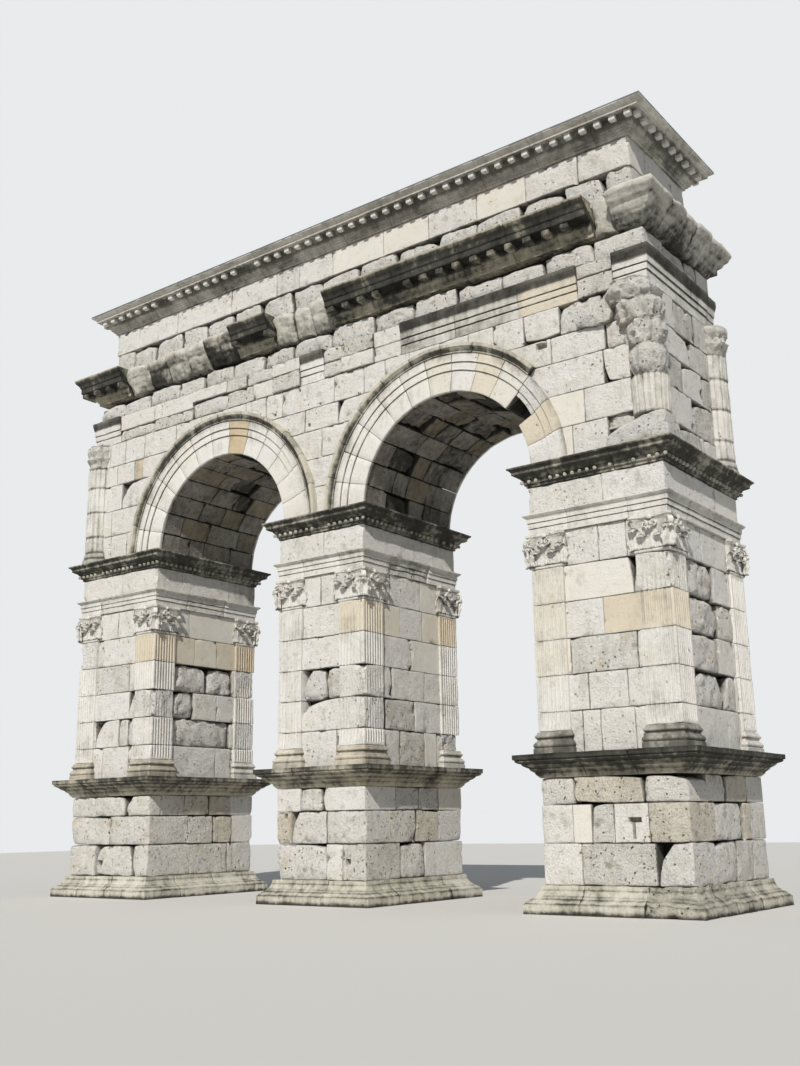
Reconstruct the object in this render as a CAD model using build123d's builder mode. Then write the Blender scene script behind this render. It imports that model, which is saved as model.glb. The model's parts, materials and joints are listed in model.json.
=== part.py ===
"""Weathered two-bay stone arch on three piers. Millimetres, origin at the centre of the base."""
import math
import os

from build123d import *

os.makedirs("parts", exist_ok=True)

# Plan of the lower storey
PIER_SPACING = 6590
OUTER_PIER_HALF_WIDTH = 1340
MIDDLE_PIER_HALF_WIDTH = 1135
PIER_HALF_DEPTH = 1650
PILASTER_WIDTH = 660
PILASTER_OUT = 50

# Heights of the lower storey, each course standing on the one before
BASE_HEIGHT = 475
DADO_HEIGHT = 1825
PEDESTAL_CORNICE_HEIGHT = 410
PILASTER_BASE_HEIGHT = 400
SHAFT_HEIGHT = 2980
CAPITAL_HEIGHT = 670
ARCHITRAVE_HEIGHT = 390
BAND_HEIGHT = 540
IMPOST_HEIGHT = 375

# How far the mouldings of the lower storey stand out from the pier
BASE_OUT = 340
PEDESTAL_CORNICE_OUT = 411
PILASTER_BASE_OUT = 75
ARCHITRAVE_OUT = 150
BAND_OUT = 42
IMPOST_OUT = 338

# Flutes of the pilasters
FLUTE_COUNT = 7
FLUTE_PITCH = 84
FLUTE_RADIUS = 30
FLUTE_MARGIN = 70

# Capitals
BELL_OUT = 55
ABACUS_HEIGHT = 110
ABACUS_OUT = 95

# Arches
VOUSSOIR_WIDTH = 440
FASCIA_WIDTH = 170
HOOD_WIDTH = 210
FASCIA_STEP = 22
HOOD_OUT = 120
HOOD_LIP = 70
HOOD_LIP_OUT = 40
ARCH_CHORDS = 24

# Upper storey
UPPER_SETBACK = 50
UPPER_WALL_HEIGHT = 3185
COLUMN_RADIUS = 400
COLUMN_OUT = 240
COLUMN_BASE_HEIGHT = 330
COLUMN_BASE_OUT = 60
COLUMN_CAPITAL_HEIGHT = 620
COLUMN_FLUTES = 18
COLUMN_FLUTE_WIDTH = 68
COLUMN_FLUTE_DEPTH = 34

# Entablature
GREAT_ARCHITRAVE_HEIGHT = 700
GREAT_ARCHITRAVE_OUT = 85
FRIEZE_SETBACK = 45
FRIEZE_HEIGHT = 510
CORNICE_HEIGHT = 690
CORNICE_OUT = 505
MODILLION_PITCH = 410
MODILLION_WIDTH = 170
MODILLION_HEIGHT = 120
MODILLION_LENGTH = 225

# Attic
ATTIC_SETBACK_X = 270
ATTIC_SETBACK_Y = 250
ATTIC_HEIGHT = 1365
ATTIC_CORNICE_HEIGHT = 455
ATTIC_CORNICE_OUT = 518
CAPPING_HEIGHT = 30
DENTIL_PITCH = 320
DENTIL_WIDTH = 150
DENTIL_HEIGHT = 105
DENTIL_DEPTH = 85

# Levels that follow from the heights
BASE_TOP = BASE_HEIGHT
DADO_TOP = BASE_TOP + DADO_HEIGHT
PEDESTAL_TOP = DADO_TOP + PEDESTAL_CORNICE_HEIGHT
SHAFT_TOP = PEDESTAL_TOP + PILASTER_BASE_HEIGHT + SHAFT_HEIGHT
CAPITAL_TOP = SHAFT_TOP + CAPITAL_HEIGHT
ARCHITRAVE_TOP = CAPITAL_TOP + ARCHITRAVE_HEIGHT
BAND_TOP = ARCHITRAVE_TOP + BAND_HEIGHT
IMPOST_TOP = BAND_TOP + IMPOST_HEIGHT
UPPER_WALL_TOP = IMPOST_TOP + UPPER_WALL_HEIGHT
GREAT_ARCHITRAVE_TOP = UPPER_WALL_TOP + GREAT_ARCHITRAVE_HEIGHT
FRIEZE_TOP = GREAT_ARCHITRAVE_TOP + FRIEZE_HEIGHT
CORNICE_TOP = FRIEZE_TOP + CORNICE_HEIGHT
ATTIC_TOP = CORNICE_TOP + ATTIC_HEIGHT
ATTIC_CORNICE_TOP = ATTIC_TOP + ATTIC_CORNICE_HEIGHT

# Widths and radii that follow from the plan
ARCH_RADIUS = (PIER_SPACING - OUTER_PIER_HALF_WIDTH - MIDDLE_PIER_HALF_WIDTH) / 2
ARCH_X = MIDDLE_PIER_HALF_WIDTH + ARCH_RADIUS
RING_RADIUS = ARCH_RADIUS + VOUSSOIR_WIDTH
HOOD_RADIUS = RING_RADIUS + 2 * FASCIA_WIDTH
HOOD_OUTER_RADIUS = HOOD_RADIUS + HOOD_WIDTH
UPPER_HALF_WIDTH = PIER_SPACING + OUTER_PIER_HALF_WIDTH - UPPER_SETBACK
UPPER_HALF_DEPTH = PIER_HALF_DEPTH - UPPER_SETBACK
FRIEZE_HALF_WIDTH = UPPER_HALF_WIDTH - FRIEZE_SETBACK
FRIEZE_HALF_DEPTH = UPPER_HALF_DEPTH - FRIEZE_SETBACK
ATTIC_HALF_WIDTH = FRIEZE_HALF_WIDTH - ATTIC_SETBACK_X
ATTIC_HALF_DEPTH = FRIEZE_HALF_DEPTH - ATTIC_SETBACK_Y

# Moulding profiles from bottom to top: share of the projection, share of the height
BASE_PROFILE = [(1, 0), (1, 0.36), (0.9, 0.44), (0.68, 0.52), (0.46, 0.66), (0.32, 0.84), (0.3, 1)]
PEDESTAL_PROFILE = [(0.12, 0), (0.17, 0.06), (0.28, 0.18), (0.46, 0.36), (0.7, 0.54), (0.93, 0.7),
                    (0.93, 0.78), (1, 0.8), (1, 1)]
ATTIC_BASE_PROFILE = [(1, 0), (1, 0.28), (0.86, 0.3), (0.98, 0.4), (0.86, 0.5), (0.5, 0.58),
                      (0.5, 0.68), (0.68, 0.8), (0.5, 0.9), (0.25, 1)]
ARCHITRAVE_PROFILE = [(0.34, 0), (0.34, 0.32), (0.44, 0.32), (0.44, 0.58), (0.54, 0.58), (0.54, 0.8),
                      (0.72, 0.84), (0.92, 0.92), (1, 0.94), (1, 1)]
IMPOST_PROFILE = [(0.13, 0), (0.2, 0), (0.2, 0.12), (0.3, 0.16), (0.3, 0.36), (0.42, 0.4),
                  (0.5, 0.52), (0.8, 0.64), (0.8, 0.78), (0.88, 0.82), (1, 0.9), (1, 1)]
GREAT_ARCHITRAVE_PROFILE = [(0, 0), (0, 0.29), (0.25, 0.29), (0.25, 0.49), (0.5, 0.49),
                            (0.5, 0.69), (0.62, 0.72), (0.9, 0.86), (1, 0.9), (1, 1)]
CORNICE_PROFILE = [(0, 0), (0.05, 0), (0.05, 0.1), (0.2, 0.2), (0.24, 0.3), (0.24, 0.42),
                   (0.74, 0.46), (0.74, 0.66), (0.8, 0.7), (0.86, 0.8), (0.98, 0.9), (1, 0.92), (1, 1)]
ATTIC_CORNICE_PROFILE = [(0, 0), (0.08, 0), (0.08, 0.1), (0.17, 0.12), (0.17, 0.2), (0.26, 0.22),
                         (0.26, 0.3), (0.38, 0.38), (0.46, 0.42), (0.46, 0.7), (0.8, 0.72),
                         (0.8, 0.86), (0.86, 0.88), (1, 0.97), (1, 1)]

# Front cornice stones that have lost their edge: start, end, and share of projection left
BROKEN_CORNICE = [(6850, 8500, 0.62), (-1450, 300, 0.55), (-3650, -2650, 0.7),
                  (-5800, -3650, 0.45), (-6650, -5800, 0.6)]


def moulded_block(middle, half_x, half_y, bottom, height, out, profile):
    """Solid of rectangular plan whose four sides follow one profile and meet in mitres."""
    def outline(centre, half):
        right = [(centre + half + out * far, bottom + height * up) for far, up in profile]
        left = [(centre - half - out * far, bottom + height * up) for far, up in profile]
        return right + left[::-1]

    with BuildPart() as block:
        with BuildSketch(Plane.YZ.offset(middle[0])):
            with BuildLine():
                Polyline(*outline(middle[1], half_y), close=True)
            make_face()
        extrude(amount=half_x + out, both=True)
        with BuildSketch(Plane.XZ.offset(-middle[1])):
            with BuildLine():
                Polyline(*outline(middle[0], half_x), close=True)
            make_face()
        extrude(amount=half_y + out, both=True, mode=Mode.INTERSECT)
    return block.part


def straight_block(half_x, half_y, bottom, height, centre=0):
    """Plain course of rectangular plan."""
    with BuildPart() as block:
        with BuildSketch(Plane.XY.offset(bottom)):
            with Locations((centre, 0)):
                Rectangle(2 * half_x, 2 * half_y)
        extrude(amount=height)
    return block.part


def post_centres(centre, half_width):
    """Centres of the four corner pilasters of a pier."""
    reach_x = half_width + PILASTER_OUT - PILASTER_WIDTH / 2
    reach_y = PIER_HALF_DEPTH + PILASTER_OUT - PILASTER_WIDTH / 2
    return [(centre + side * reach_x, face * reach_y) for side in (-1, 1) for face in (-1, 1)]


def pier_wall(centre, half_width):
    """Masonry between the pilasters, from the pedestal to the architrave."""
    with BuildPart() as wall:
        with BuildSketch(Plane.XY.offset(PEDESTAL_TOP)):
            with Locations((centre, 0)):
                Rectangle(2 * half_width, 2 * PIER_HALF_DEPTH)
            with Locations(*post_centres(centre, half_width)):
                Rectangle(PILASTER_WIDTH, PILASTER_WIDTH, mode=Mode.SUBTRACT)
        extrude(amount=CAPITAL_TOP - PEDESTAL_TOP)
    return wall.part


def pilasters(centre, half_width, wall):
    """Four fluted corner posts, each on a moulded base that returns over the wall."""
    posts_at = post_centres(centre, half_width)
    base = [moulded_block(place, PILASTER_WIDTH / 2, PILASTER_WIDTH / 2, PEDESTAL_TOP,
                          PILASTER_BASE_HEIGHT, PILASTER_BASE_OUT, ATTIC_BASE_PROFILE)
            for place in posts_at]
    half = PILASTER_WIDTH / 2
    steps = [(i - (FLUTE_COUNT - 1) / 2) * FLUTE_PITCH for i in range(FLUTE_COUNT)]
    across = [(x + step, y + (half if y > 0 else -half)) for x, y in posts_at for step in steps]
    along = [(x + (half if x > centre else -half), y + step) for x, y in posts_at for step in steps]
    flute_bottom = PEDESTAL_TOP + PILASTER_BASE_HEIGHT + FLUTE_MARGIN
    with BuildPart() as posts:
        with BuildSketch(Plane.XY.offset(PEDESTAL_TOP)):
            with Locations(*posts_at):
                Rectangle(PILASTER_WIDTH, PILASTER_WIDTH)
        extrude(amount=SHAFT_TOP - PEDESTAL_TOP)
        with BuildSketch(Plane.XY.offset(flute_bottom)):
            with Locations(*across):
                RegularPolygon(FLUTE_RADIUS, 6)
            with Locations(*along):
                RegularPolygon(FLUTE_RADIUS, 6, rotation=90)
        extrude(amount=SHAFT_TOP - FLUTE_MARGIN - flute_bottom, mode=Mode.SUBTRACT)
        add(base)
        add(wall, mode=Mode.SUBTRACT)
    return posts.part


def capitals(centre, half_width, wall):
    """Flaring bells under square abacus slabs, one to each pilaster."""
    bell_height = CAPITAL_HEIGHT - ABACUS_HEIGHT
    bell = [(0, 0), (0.35, 0.06), (0.1, 0.12), (0.5, 0.3), (0.62, 0.36), (0.3, 0.38), (0.8, 0.66),
            (0.4, 0.7), (1, 1)]
    slab = [(0.75, 0), (0.9, 0.5), (1, 0.55), (1, 1)]
    half = PILASTER_WIDTH / 2
    posts_at = post_centres(centre, half_width)
    bells = [moulded_block(place, half, half, SHAFT_TOP, bell_height, BELL_OUT, bell)
             for place in posts_at]
    slabs = [moulded_block(place, half, half, SHAFT_TOP + bell_height, ABACUS_HEIGHT, ABACUS_OUT, slab)
             for place in posts_at]
    with BuildPart() as heads:
        add(bells)
        add(slabs)
        add(wall, mode=Mode.SUBTRACT)
    return heads.part


def half_circle(centre, radius):
    """Corners of the straight cuts that round an arch, from right to left over the crown."""
    turns = [math.pi * i / ARCH_CHORDS for i in range(ARCH_CHORDS + 1)]
    return [(centre + radius * math.cos(turn), IMPOST_TOP + radius * math.sin(turn)) for turn in turns]


def vault(centre):
    """Barrel of the archway, the full thickness of the wall."""
    with BuildPart() as barrel:
        with BuildSketch(Plane.XZ):
            with BuildLine():
                Polyline(*half_circle(centre, RING_RADIUS), *half_circle(centre, ARCH_RADIUS)[::-1],
                         close=True)
            make_face()
        extrude(amount=UPPER_HALF_DEPTH + FASCIA_STEP, both=True)
    return barrel.part


def archivolt(centre, face):
    """Stepped ring under a hood moulding, through half the thickness of the wall."""
    first = UPPER_HALF_DEPTH + 2 * FASCIA_STEP
    hood = UPPER_HALF_DEPTH + HOOD_OUT
    steps = [(RING_RADIUS, first), (RING_RADIUS + FASCIA_WIDTH, first + FASCIA_STEP),
             (HOOD_RADIUS, hood - HOOD_LIP_OUT), (HOOD_OUTER_RADIUS - HOOD_LIP, hood)]
    with BuildPart() as ring:
        for inner, depth in steps:
            with BuildSketch(Plane.XZ):
                with BuildLine():
                    Polyline(*half_circle(centre, HOOD_OUTER_RADIUS), *half_circle(centre, inner)[::-1],
                             close=True)
                make_face()
            extrude(amount=-face * depth)
    return ring.part


def column_places():
    """Centres of the engaged columns at the corners of the upper storey."""
    x = UPPER_HALF_WIDTH + COLUMN_OUT - COLUMN_RADIUS
    y = UPPER_HALF_DEPTH + COLUMN_OUT - COLUMN_RADIUS
    return [(side * x, face * y) for side in (-1, 1) for face in (-1, 1)]


def column_sockets(height):
    """Square blocks of masonry that the corner columns are cut from."""
    side = 2 * COLUMN_RADIUS - COLUMN_OUT
    x = UPPER_HALF_WIDTH - side / 2
    y = UPPER_HALF_DEPTH - side / 2
    with BuildPart() as blocks:
        with BuildSketch(Plane.XY.offset(IMPOST_TOP)):
            with Locations(*[(a * x, b * y) for a in (-1, 1) for b in (-1, 1)]):
                Rectangle(side, side)
        extrude(amount=height)
    return blocks.part


def upper_wall(left, right):
    """Spandrel masonry between two vertical joints, cut round the archivolts."""
    with BuildPart() as wall:
        with BuildSketch(Plane.XY.offset(IMPOST_TOP)):
            with Locations(((left + right) / 2, 0)):
                Rectangle(right - left, 2 * UPPER_HALF_DEPTH)
        extrude(amount=UPPER_WALL_HEIGHT)
        for centre in (-ARCH_X, ARCH_X):
            with BuildSketch(Plane.XZ):
                with BuildLine():
                    Polyline(*half_circle(centre, HOOD_OUTER_RADIUS), close=True)
                make_face()
            extrude(amount=UPPER_HALF_DEPTH, both=True, mode=Mode.SUBTRACT)
        add(column_sockets(UPPER_WALL_HEIGHT), mode=Mode.SUBTRACT)
    return wall.part


def fluted_outline():
    """Plan of a column shaft: both edges of each land, then the bottom of the flute."""
    step = 2 * math.pi / COLUMN_FLUTES
    edge = step / 2 - math.asin(COLUMN_FLUTE_WIDTH / 2 / COLUMN_RADIUS)
    corners = []
    for i in range(COLUMN_FLUTES):
        for turn, radius in [(-edge, COLUMN_RADIUS), (edge, COLUMN_RADIUS),
                             (step / 2, COLUMN_RADIUS - COLUMN_FLUTE_DEPTH)]:
            corners.append((radius * math.cos(i * step + turn), radius * math.sin(i * step + turn)))
    return corners


def corner_columns():
    """Fluted engaged columns with worn bases and broken capitals."""
    places = column_places()
    capital_bottom = UPPER_WALL_TOP - COLUMN_CAPITAL_HEIGHT
    with BuildPart() as columns:
        with BuildSketch(Plane.XY.offset(IMPOST_TOP)):
            with Locations(*places):
                RegularPolygon(COLUMN_RADIUS + COLUMN_BASE_OUT, COLUMN_FLUTES)
        extrude(amount=COLUMN_BASE_HEIGHT)
        with BuildSketch(Plane.XY.offset(IMPOST_TOP + COLUMN_BASE_HEIGHT)):
            with Locations(*places):
                Polygon(*fluted_outline(), align=None)
        extrude(amount=capital_bottom - IMPOST_TOP - COLUMN_BASE_HEIGHT)
        with BuildSketch(Plane.XY.offset(capital_bottom)):
            with Locations(*places):
                RegularPolygon(COLUMN_RADIUS, COLUMN_FLUTES)
        extrude(amount=COLUMN_CAPITAL_HEIGHT)
        with BuildSketch(Plane.XY.offset(IMPOST_TOP)):
            Rectangle(2 * UPPER_HALF_WIDTH, 2 * UPPER_HALF_DEPTH)
        extrude(amount=UPPER_WALL_HEIGHT, mode=Mode.SUBTRACT)
        add(column_sockets(UPPER_WALL_HEIGHT))
    return columns.part


def main_cornice():
    """Great cornice on brackets, with the edges missing from the broken stones of the front."""
    whole = moulded_block((0, 0), FRIEZE_HALF_WIDTH, FRIEZE_HALF_DEPTH, FRIEZE_TOP,
                          CORNICE_HEIGHT, CORNICE_OUT, CORNICE_PROFILE)
    x_face = FRIEZE_HALF_WIDTH + CORNICE_OUT * 0.24
    y_face = FRIEZE_HALF_DEPTH + CORNICE_OUT * 0.24
    count_x = int(2 * x_face / MODILLION_PITCH)
    count_y = int(2 * y_face / MODILLION_PITCH)
    with BuildPart() as cornice:
        add(whole)
        with BuildSketch(Plane.XY.offset(FRIEZE_TOP + CORNICE_HEIGHT * 0.46 - MODILLION_HEIGHT)):
            for face in (-1, 1):
                with Locations((0, face * (y_face + MODILLION_LENGTH / 2))):
                    with GridLocations(MODILLION_PITCH, MODILLION_PITCH, count_x, 1):
                        Rectangle(MODILLION_WIDTH, MODILLION_LENGTH)
                with Locations((face * (x_face + MODILLION_LENGTH / 2), 0)):
                    with GridLocations(MODILLION_PITCH, MODILLION_PITCH, 1, count_y):
                        Rectangle(MODILLION_LENGTH, MODILLION_WIDTH)
        extrude(amount=MODILLION_HEIGHT)
        for start, end, left in BROKEN_CORNICE:
            with BuildSketch(Plane.XY.offset(FRIEZE_TOP)):
                with Locations(((start + end) / 2, -FRIEZE_HALF_DEPTH - CORNICE_OUT * (left + 1) / 2)):
                    Rectangle(end - start, CORNICE_OUT * (1 - left))
            extrude(amount=CORNICE_HEIGHT, mode=Mode.SUBTRACT)
    return cornice.part


def attic_cornice():
    """Crowning cornice with a row of dentils on every side."""
    crown = moulded_block((0, 0), ATTIC_HALF_WIDTH, ATTIC_HALF_DEPTH, ATTIC_TOP,
                          ATTIC_CORNICE_HEIGHT, ATTIC_CORNICE_OUT, ATTIC_CORNICE_PROFILE)
    face_out = ATTIC_CORNICE_OUT * 0.46
    dentil_bottom = ATTIC_TOP + ATTIC_CORNICE_HEIGHT * 0.72 - DENTIL_HEIGHT
    x_face = ATTIC_HALF_WIDTH + face_out
    y_face = ATTIC_HALF_DEPTH + face_out
    count_x = int(2 * x_face / DENTIL_PITCH)
    count_y = int(2 * y_face / DENTIL_PITCH)
    with BuildPart() as cornice:
        add(crown)
        with BuildSketch(Plane.XY.offset(dentil_bottom)):
            for face in (-1, 1):
                with Locations((0, face * (y_face + DENTIL_DEPTH / 2))):
                    with GridLocations(DENTIL_PITCH, DENTIL_PITCH, count_x, 1):
                        Rectangle(DENTIL_WIDTH, DENTIL_DEPTH)
                with Locations((face * (x_face + DENTIL_DEPTH / 2), 0)):
                    with GridLocations(DENTIL_PITCH, DENTIL_PITCH, 1, count_y):
                        Rectangle(DENTIL_DEPTH, DENTIL_WIDTH)
        extrude(amount=DENTIL_HEIGHT)
    return cornice.part


def save(solid, name):
    """Label one piece and write its file."""
    solid.label = name
    export_step(solid, "parts/" + name + ".step")


# Piers, from the ground to the impost
PIERS = [("left", -PIER_SPACING, OUTER_PIER_HALF_WIDTH), ("middle", 0, MIDDLE_PIER_HALF_WIDTH),
         ("right", PIER_SPACING, OUTER_PIER_HALF_WIDTH)]
for side, x, half_width in PIERS:
    at = (x, 0)
    depth = PIER_HALF_DEPTH
    save(moulded_block(at, half_width, depth, 0, BASE_HEIGHT, BASE_OUT, BASE_PROFILE), side + "_base")
    save(straight_block(half_width + PILASTER_OUT, depth + PILASTER_OUT, BASE_TOP, DADO_HEIGHT, x),
         side + "_dado")
    save(moulded_block(at, half_width, depth, DADO_TOP, PEDESTAL_CORNICE_HEIGHT,
                       PEDESTAL_CORNICE_OUT, PEDESTAL_PROFILE), side + "_pedestal_cornice")
    core = pier_wall(x, half_width)
    save(core, side + "_wall")
    save(pilasters(x, half_width, core), side + "_pilasters")
    save(capitals(x, half_width, core), side + "_capitals")
    save(moulded_block(at, half_width, depth, CAPITAL_TOP, ARCHITRAVE_HEIGHT, ARCHITRAVE_OUT,
                       ARCHITRAVE_PROFILE), side + "_architrave")
    save(straight_block(half_width + BAND_OUT, depth + BAND_OUT, ARCHITRAVE_TOP, BAND_HEIGHT, x),
         side + "_band")
    save(moulded_block(at, half_width, depth, BAND_TOP, IMPOST_HEIGHT, IMPOST_OUT, IMPOST_PROFILE),
         side + "_impost_cornice")

# Arches and the walls between them
for side, x in [("left", -ARCH_X), ("right", ARCH_X)]:
    save(vault(x), side + "_vault")
    save(archivolt(x, -1), side + "_front_archivolt")
    save(archivolt(x, 1), side + "_back_archivolt")
save(upper_wall(-UPPER_HALF_WIDTH, -ARCH_X), "left_upper_wall")
save(upper_wall(-ARCH_X, ARCH_X), "middle_upper_wall")
save(upper_wall(ARCH_X, UPPER_HALF_WIDTH), "right_upper_wall")
save(corner_columns(), "corner_columns")

# Entablature
save(moulded_block((0, 0), UPPER_HALF_WIDTH, UPPER_HALF_DEPTH, UPPER_WALL_TOP,
                   GREAT_ARCHITRAVE_HEIGHT, GREAT_ARCHITRAVE_OUT, GREAT_ARCHITRAVE_PROFILE),
     "great_architrave")
save(straight_block(FRIEZE_HALF_WIDTH, FRIEZE_HALF_DEPTH, GREAT_ARCHITRAVE_TOP, FRIEZE_HEIGHT),
     "frieze")
save(main_cornice(), "main_cornice")

# Attic
save(straight_block(ATTIC_HALF_WIDTH, ATTIC_HALF_DEPTH, CORNICE_TOP, ATTIC_HEIGHT), "attic_wall")
save(attic_cornice(), "attic_cornice")
save(straight_block(ATTIC_HALF_WIDTH + ATTIC_CORNICE_OUT, ATTIC_HALF_DEPTH + ATTIC_CORNICE_OUT,
                    ATTIC_CORNICE_TOP, CAPPING_HEIGHT), "roof_capping")
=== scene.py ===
"""Weathered two-bay stone arch: its masonry, mouldings and carving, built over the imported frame.

Metres, Z up, origin at the centre of the base on the ground, front face towards -Y.
"""
import json
import math

import bpy
import numpy as np
from mathutils import Matrix, Vector

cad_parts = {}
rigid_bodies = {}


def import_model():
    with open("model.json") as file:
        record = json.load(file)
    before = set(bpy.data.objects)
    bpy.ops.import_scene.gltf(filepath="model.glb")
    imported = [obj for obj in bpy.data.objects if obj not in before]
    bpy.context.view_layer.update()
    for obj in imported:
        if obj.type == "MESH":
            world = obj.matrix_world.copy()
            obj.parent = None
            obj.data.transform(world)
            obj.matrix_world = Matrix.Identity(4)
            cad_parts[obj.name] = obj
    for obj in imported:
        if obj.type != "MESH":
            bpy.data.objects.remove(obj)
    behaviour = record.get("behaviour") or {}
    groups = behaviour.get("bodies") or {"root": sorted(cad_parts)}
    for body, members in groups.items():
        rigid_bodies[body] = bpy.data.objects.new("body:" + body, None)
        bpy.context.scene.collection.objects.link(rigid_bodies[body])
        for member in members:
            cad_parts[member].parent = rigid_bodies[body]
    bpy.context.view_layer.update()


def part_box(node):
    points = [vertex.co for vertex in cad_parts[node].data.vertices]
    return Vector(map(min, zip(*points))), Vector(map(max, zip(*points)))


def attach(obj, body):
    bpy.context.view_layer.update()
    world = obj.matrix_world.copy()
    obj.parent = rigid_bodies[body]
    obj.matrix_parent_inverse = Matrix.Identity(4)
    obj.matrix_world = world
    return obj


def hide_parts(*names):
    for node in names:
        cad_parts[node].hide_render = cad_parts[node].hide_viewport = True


bl_info = {
    "name": "Weathered Stone Arch",
    "version": (1, 0, 0),
    "blender": (4, 5, 0),
    "location": "View3D > Sidebar > Stone Arch",
    "description": "Masonry, mouldings, carving and stage of a two-bay stone arch",
    "category": "Object",
}

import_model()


def low(node):
    """Lowest corner of a CAD node."""
    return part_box(node)[0]


def high(node):
    """Highest corner of a CAD node."""
    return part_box(node)[1]


# Levels of the masonry, read from the CAD solids
BASE_TOP = high("right_base").z
DADO_TOP = high("right_dado").z
PEDESTAL_TOP = high("right_pedestal_cornice").z
SHAFT_TOP = low("right_capitals").z
CAPITAL_TOP = high("right_capitals").z
ARCHITRAVE_TOP = high("right_architrave").z
BAND_TOP = high("right_band").z
SPRINGING = high("right_impost_cornice").z
WALL_TOP = high("middle_upper_wall").z
GREAT_ARCHITRAVE_TOP = high("great_architrave").z
FRIEZE_TOP = high("frieze").z
CORNICE_TOP = high("main_cornice").z
ATTIC_TOP = high("attic_wall").z
ATTIC_CORNICE_TOP = high("attic_cornice").z

# Plan sizes, read from the CAD solids
PIER_DEPTH = high("right_wall").y
POST_DEPTH = high("right_dado").y
POST_OUT = POST_DEPTH - PIER_DEPTH
POST_SIZE = 0.66
CAPITAL_HALF = 0.325
UPPER_X = high("right_upper_wall").x
UPPER_Y = high("right_upper_wall").y
FRIEZE_X, FRIEZE_Y = high("frieze").x, high("frieze").y
ATTIC_X, ATTIC_Y = high("attic_wall").x, high("attic_wall").y
ARCH_X = (low("right_vault").x + high("right_vault").x) / 2
ARCH_RING = high("right_vault").x - ARCH_X
ARCH_RADIUS = ARCH_RING - 0.44
HOOD_OUTER = high("right_front_archivolt").x - ARCH_X
HOOD_INNER = HOOD_OUTER - 0.21
ARCH_FACE = UPPER_Y + 0.022
ARCH_CENTRES = {"left": -ARCH_X, "right": ARCH_X}
PIERS = {side: ((low(side + "_wall").x + high(side + "_wall").x) / 2,
                (high(side + "_wall").x - low(side + "_wall").x) / 2)
         for side in ("left", "middle", "right")}
COLUMN_RADIUS = 0.40
COLUMN_X = high("corner_columns").x - COLUMN_RADIUS - 0.06
COLUMN_Y = high("corner_columns").y - COLUMN_RADIUS - 0.06

# Half lengths of courses that end at a post or column, what the dark core stands back, half the gap
# between storeys, how far the great cornices reach, and the number of sheets on the roof
UPPER_SPAN_X = 7.42
WALL_SPAN_Y = 1.14
CORE_INSET = 0.26
GAP = 0.002
CORNICE_REACH = 0.505
ATTIC_CORNICE_REACH = 0.518
LEAD_SHEETS = 16

# Wedge stones of an arch, the degrees that each takes, the one that has fallen out on the right, and how
# far they stand back behind the bands round them
WEDGES = 13
WEDGE = 180 / WEDGES
MISSING_WEDGE = 2
RING_DEPTH = 0.08

# The camera, solved from the edges of the arch in the photograph: size of the picture and focal length
# in pixels, then place in metres and turn in radians
PHOTO_HEIGHT = 1066
FOCAL_PIXELS = 1158.44
CAMERA_PLACE = (15.928, -20.079, 1.528)
CAMERA_TURN = (0.643, 0.247, -0.016)

# Each way of finishing a stone: tint 0 bleached white, 0.5 cream, 1 ochre; grime 0 clean, 1 black;
# edge rounding, set back from the face, and roughness of the face in metres. relief is how strongly
# pores and dents show, slump how far the corners are eaten, and swell how far the middle stands out.
# Corners of a stone are counted from the bottom left round to the top left
FINISHES = {
    "white": dict(tint=0.10, grime=0.04, edge=0.024, back=0.0, rough=0.010, relief=0.60),
    "cream": dict(tint=0.30, grime=0.02, edge=0.010, back=0.0, rough=0.003, relief=0.22),
    "beige": dict(tint=0.46, grime=0.02, edge=0.008, back=0.0, rough=0.003, relief=0.18),
    "ochre": dict(tint=0.64, grime=0.03, edge=0.010, back=0.0, rough=0.004, relief=0.22),
    "grey": dict(tint=0.14, grime=0.17, edge=0.024, back=0.003, rough=0.010, relief=0.8),
    "pitted": dict(tint=0.20, grime=0.10, edge=0.036, back=0.004, rough=0.015, relief=1.0, slump=0.15),
    "worn": dict(tint=0.12, grime=0.04, edge=0.060, back=0.008, rough=0.024, relief=0.9, slump=0.40,
                 swell=0.015),
    "boulder": dict(tint=0.09, grime=0.03, edge=0.115, back=0.008, rough=0.042, relief=1.0, slump=0.5,
                    swell=0.045),
    "stained": dict(tint=0.44, grime=0.11, edge=0.040, back=0.0, rough=0.016, relief=1.0, slump=0.2),
    "brown": dict(tint=0.72, grime=0.22, edge=0.030, back=0.010, rough=0.012, relief=0.6),
    "vault": dict(tint=0.35, grime=0.34, edge=0.040, back=0.0, rough=0.014, relief=0.8),
}
FACES = {"front": ((1, 0, 0), (0, -1, 0)), "right": ((0, 1, 0), (1, 0, 0)),
         "back": ((-1, 0, 0), (0, 1, 0)), "left": ((0, -1, 0), (-1, 0, 0))}
LOW_LEFT, LOW_RIGHT, TOP_RIGHT, TOP_LEFT = range(4)


# Noise

def lattice(x, y, z, seed):
    """Fixed pseudo-random value from -1 to 1 for each whole-numbered point."""
    mixed = (x * 73856093) ^ (y * 19349663) ^ (z * 83492791) ^ (seed * 2654435761)
    mixed = (mixed ^ (mixed >> 13)) * 1274126177
    mixed = (mixed ^ (mixed >> 16)) & 0xFFFFFF
    return mixed / 8388607.5 - 1


def lumps(points, size, seed=0):
    """Smooth noise from -1 to 1 with lumps of about one size."""
    scaled = np.asarray(points, float) / size
    cell = np.floor(scaled).astype(np.int64)
    part = scaled - cell
    part = part * part * (3 - 2 * part)
    total = np.zeros(len(scaled))
    for corner in range(8):
        step = ((corner >> 2) & 1, (corner >> 1) & 1, corner & 1)
        weight = np.ones(len(scaled))
        for axis in range(3):
            weight = weight * (part[:, axis] if step[axis] else 1 - part[:, axis])
        total += weight * lattice(cell[:, 0] + step[0], cell[:, 1] + step[1], cell[:, 2] + step[2], seed)
    return total


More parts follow.
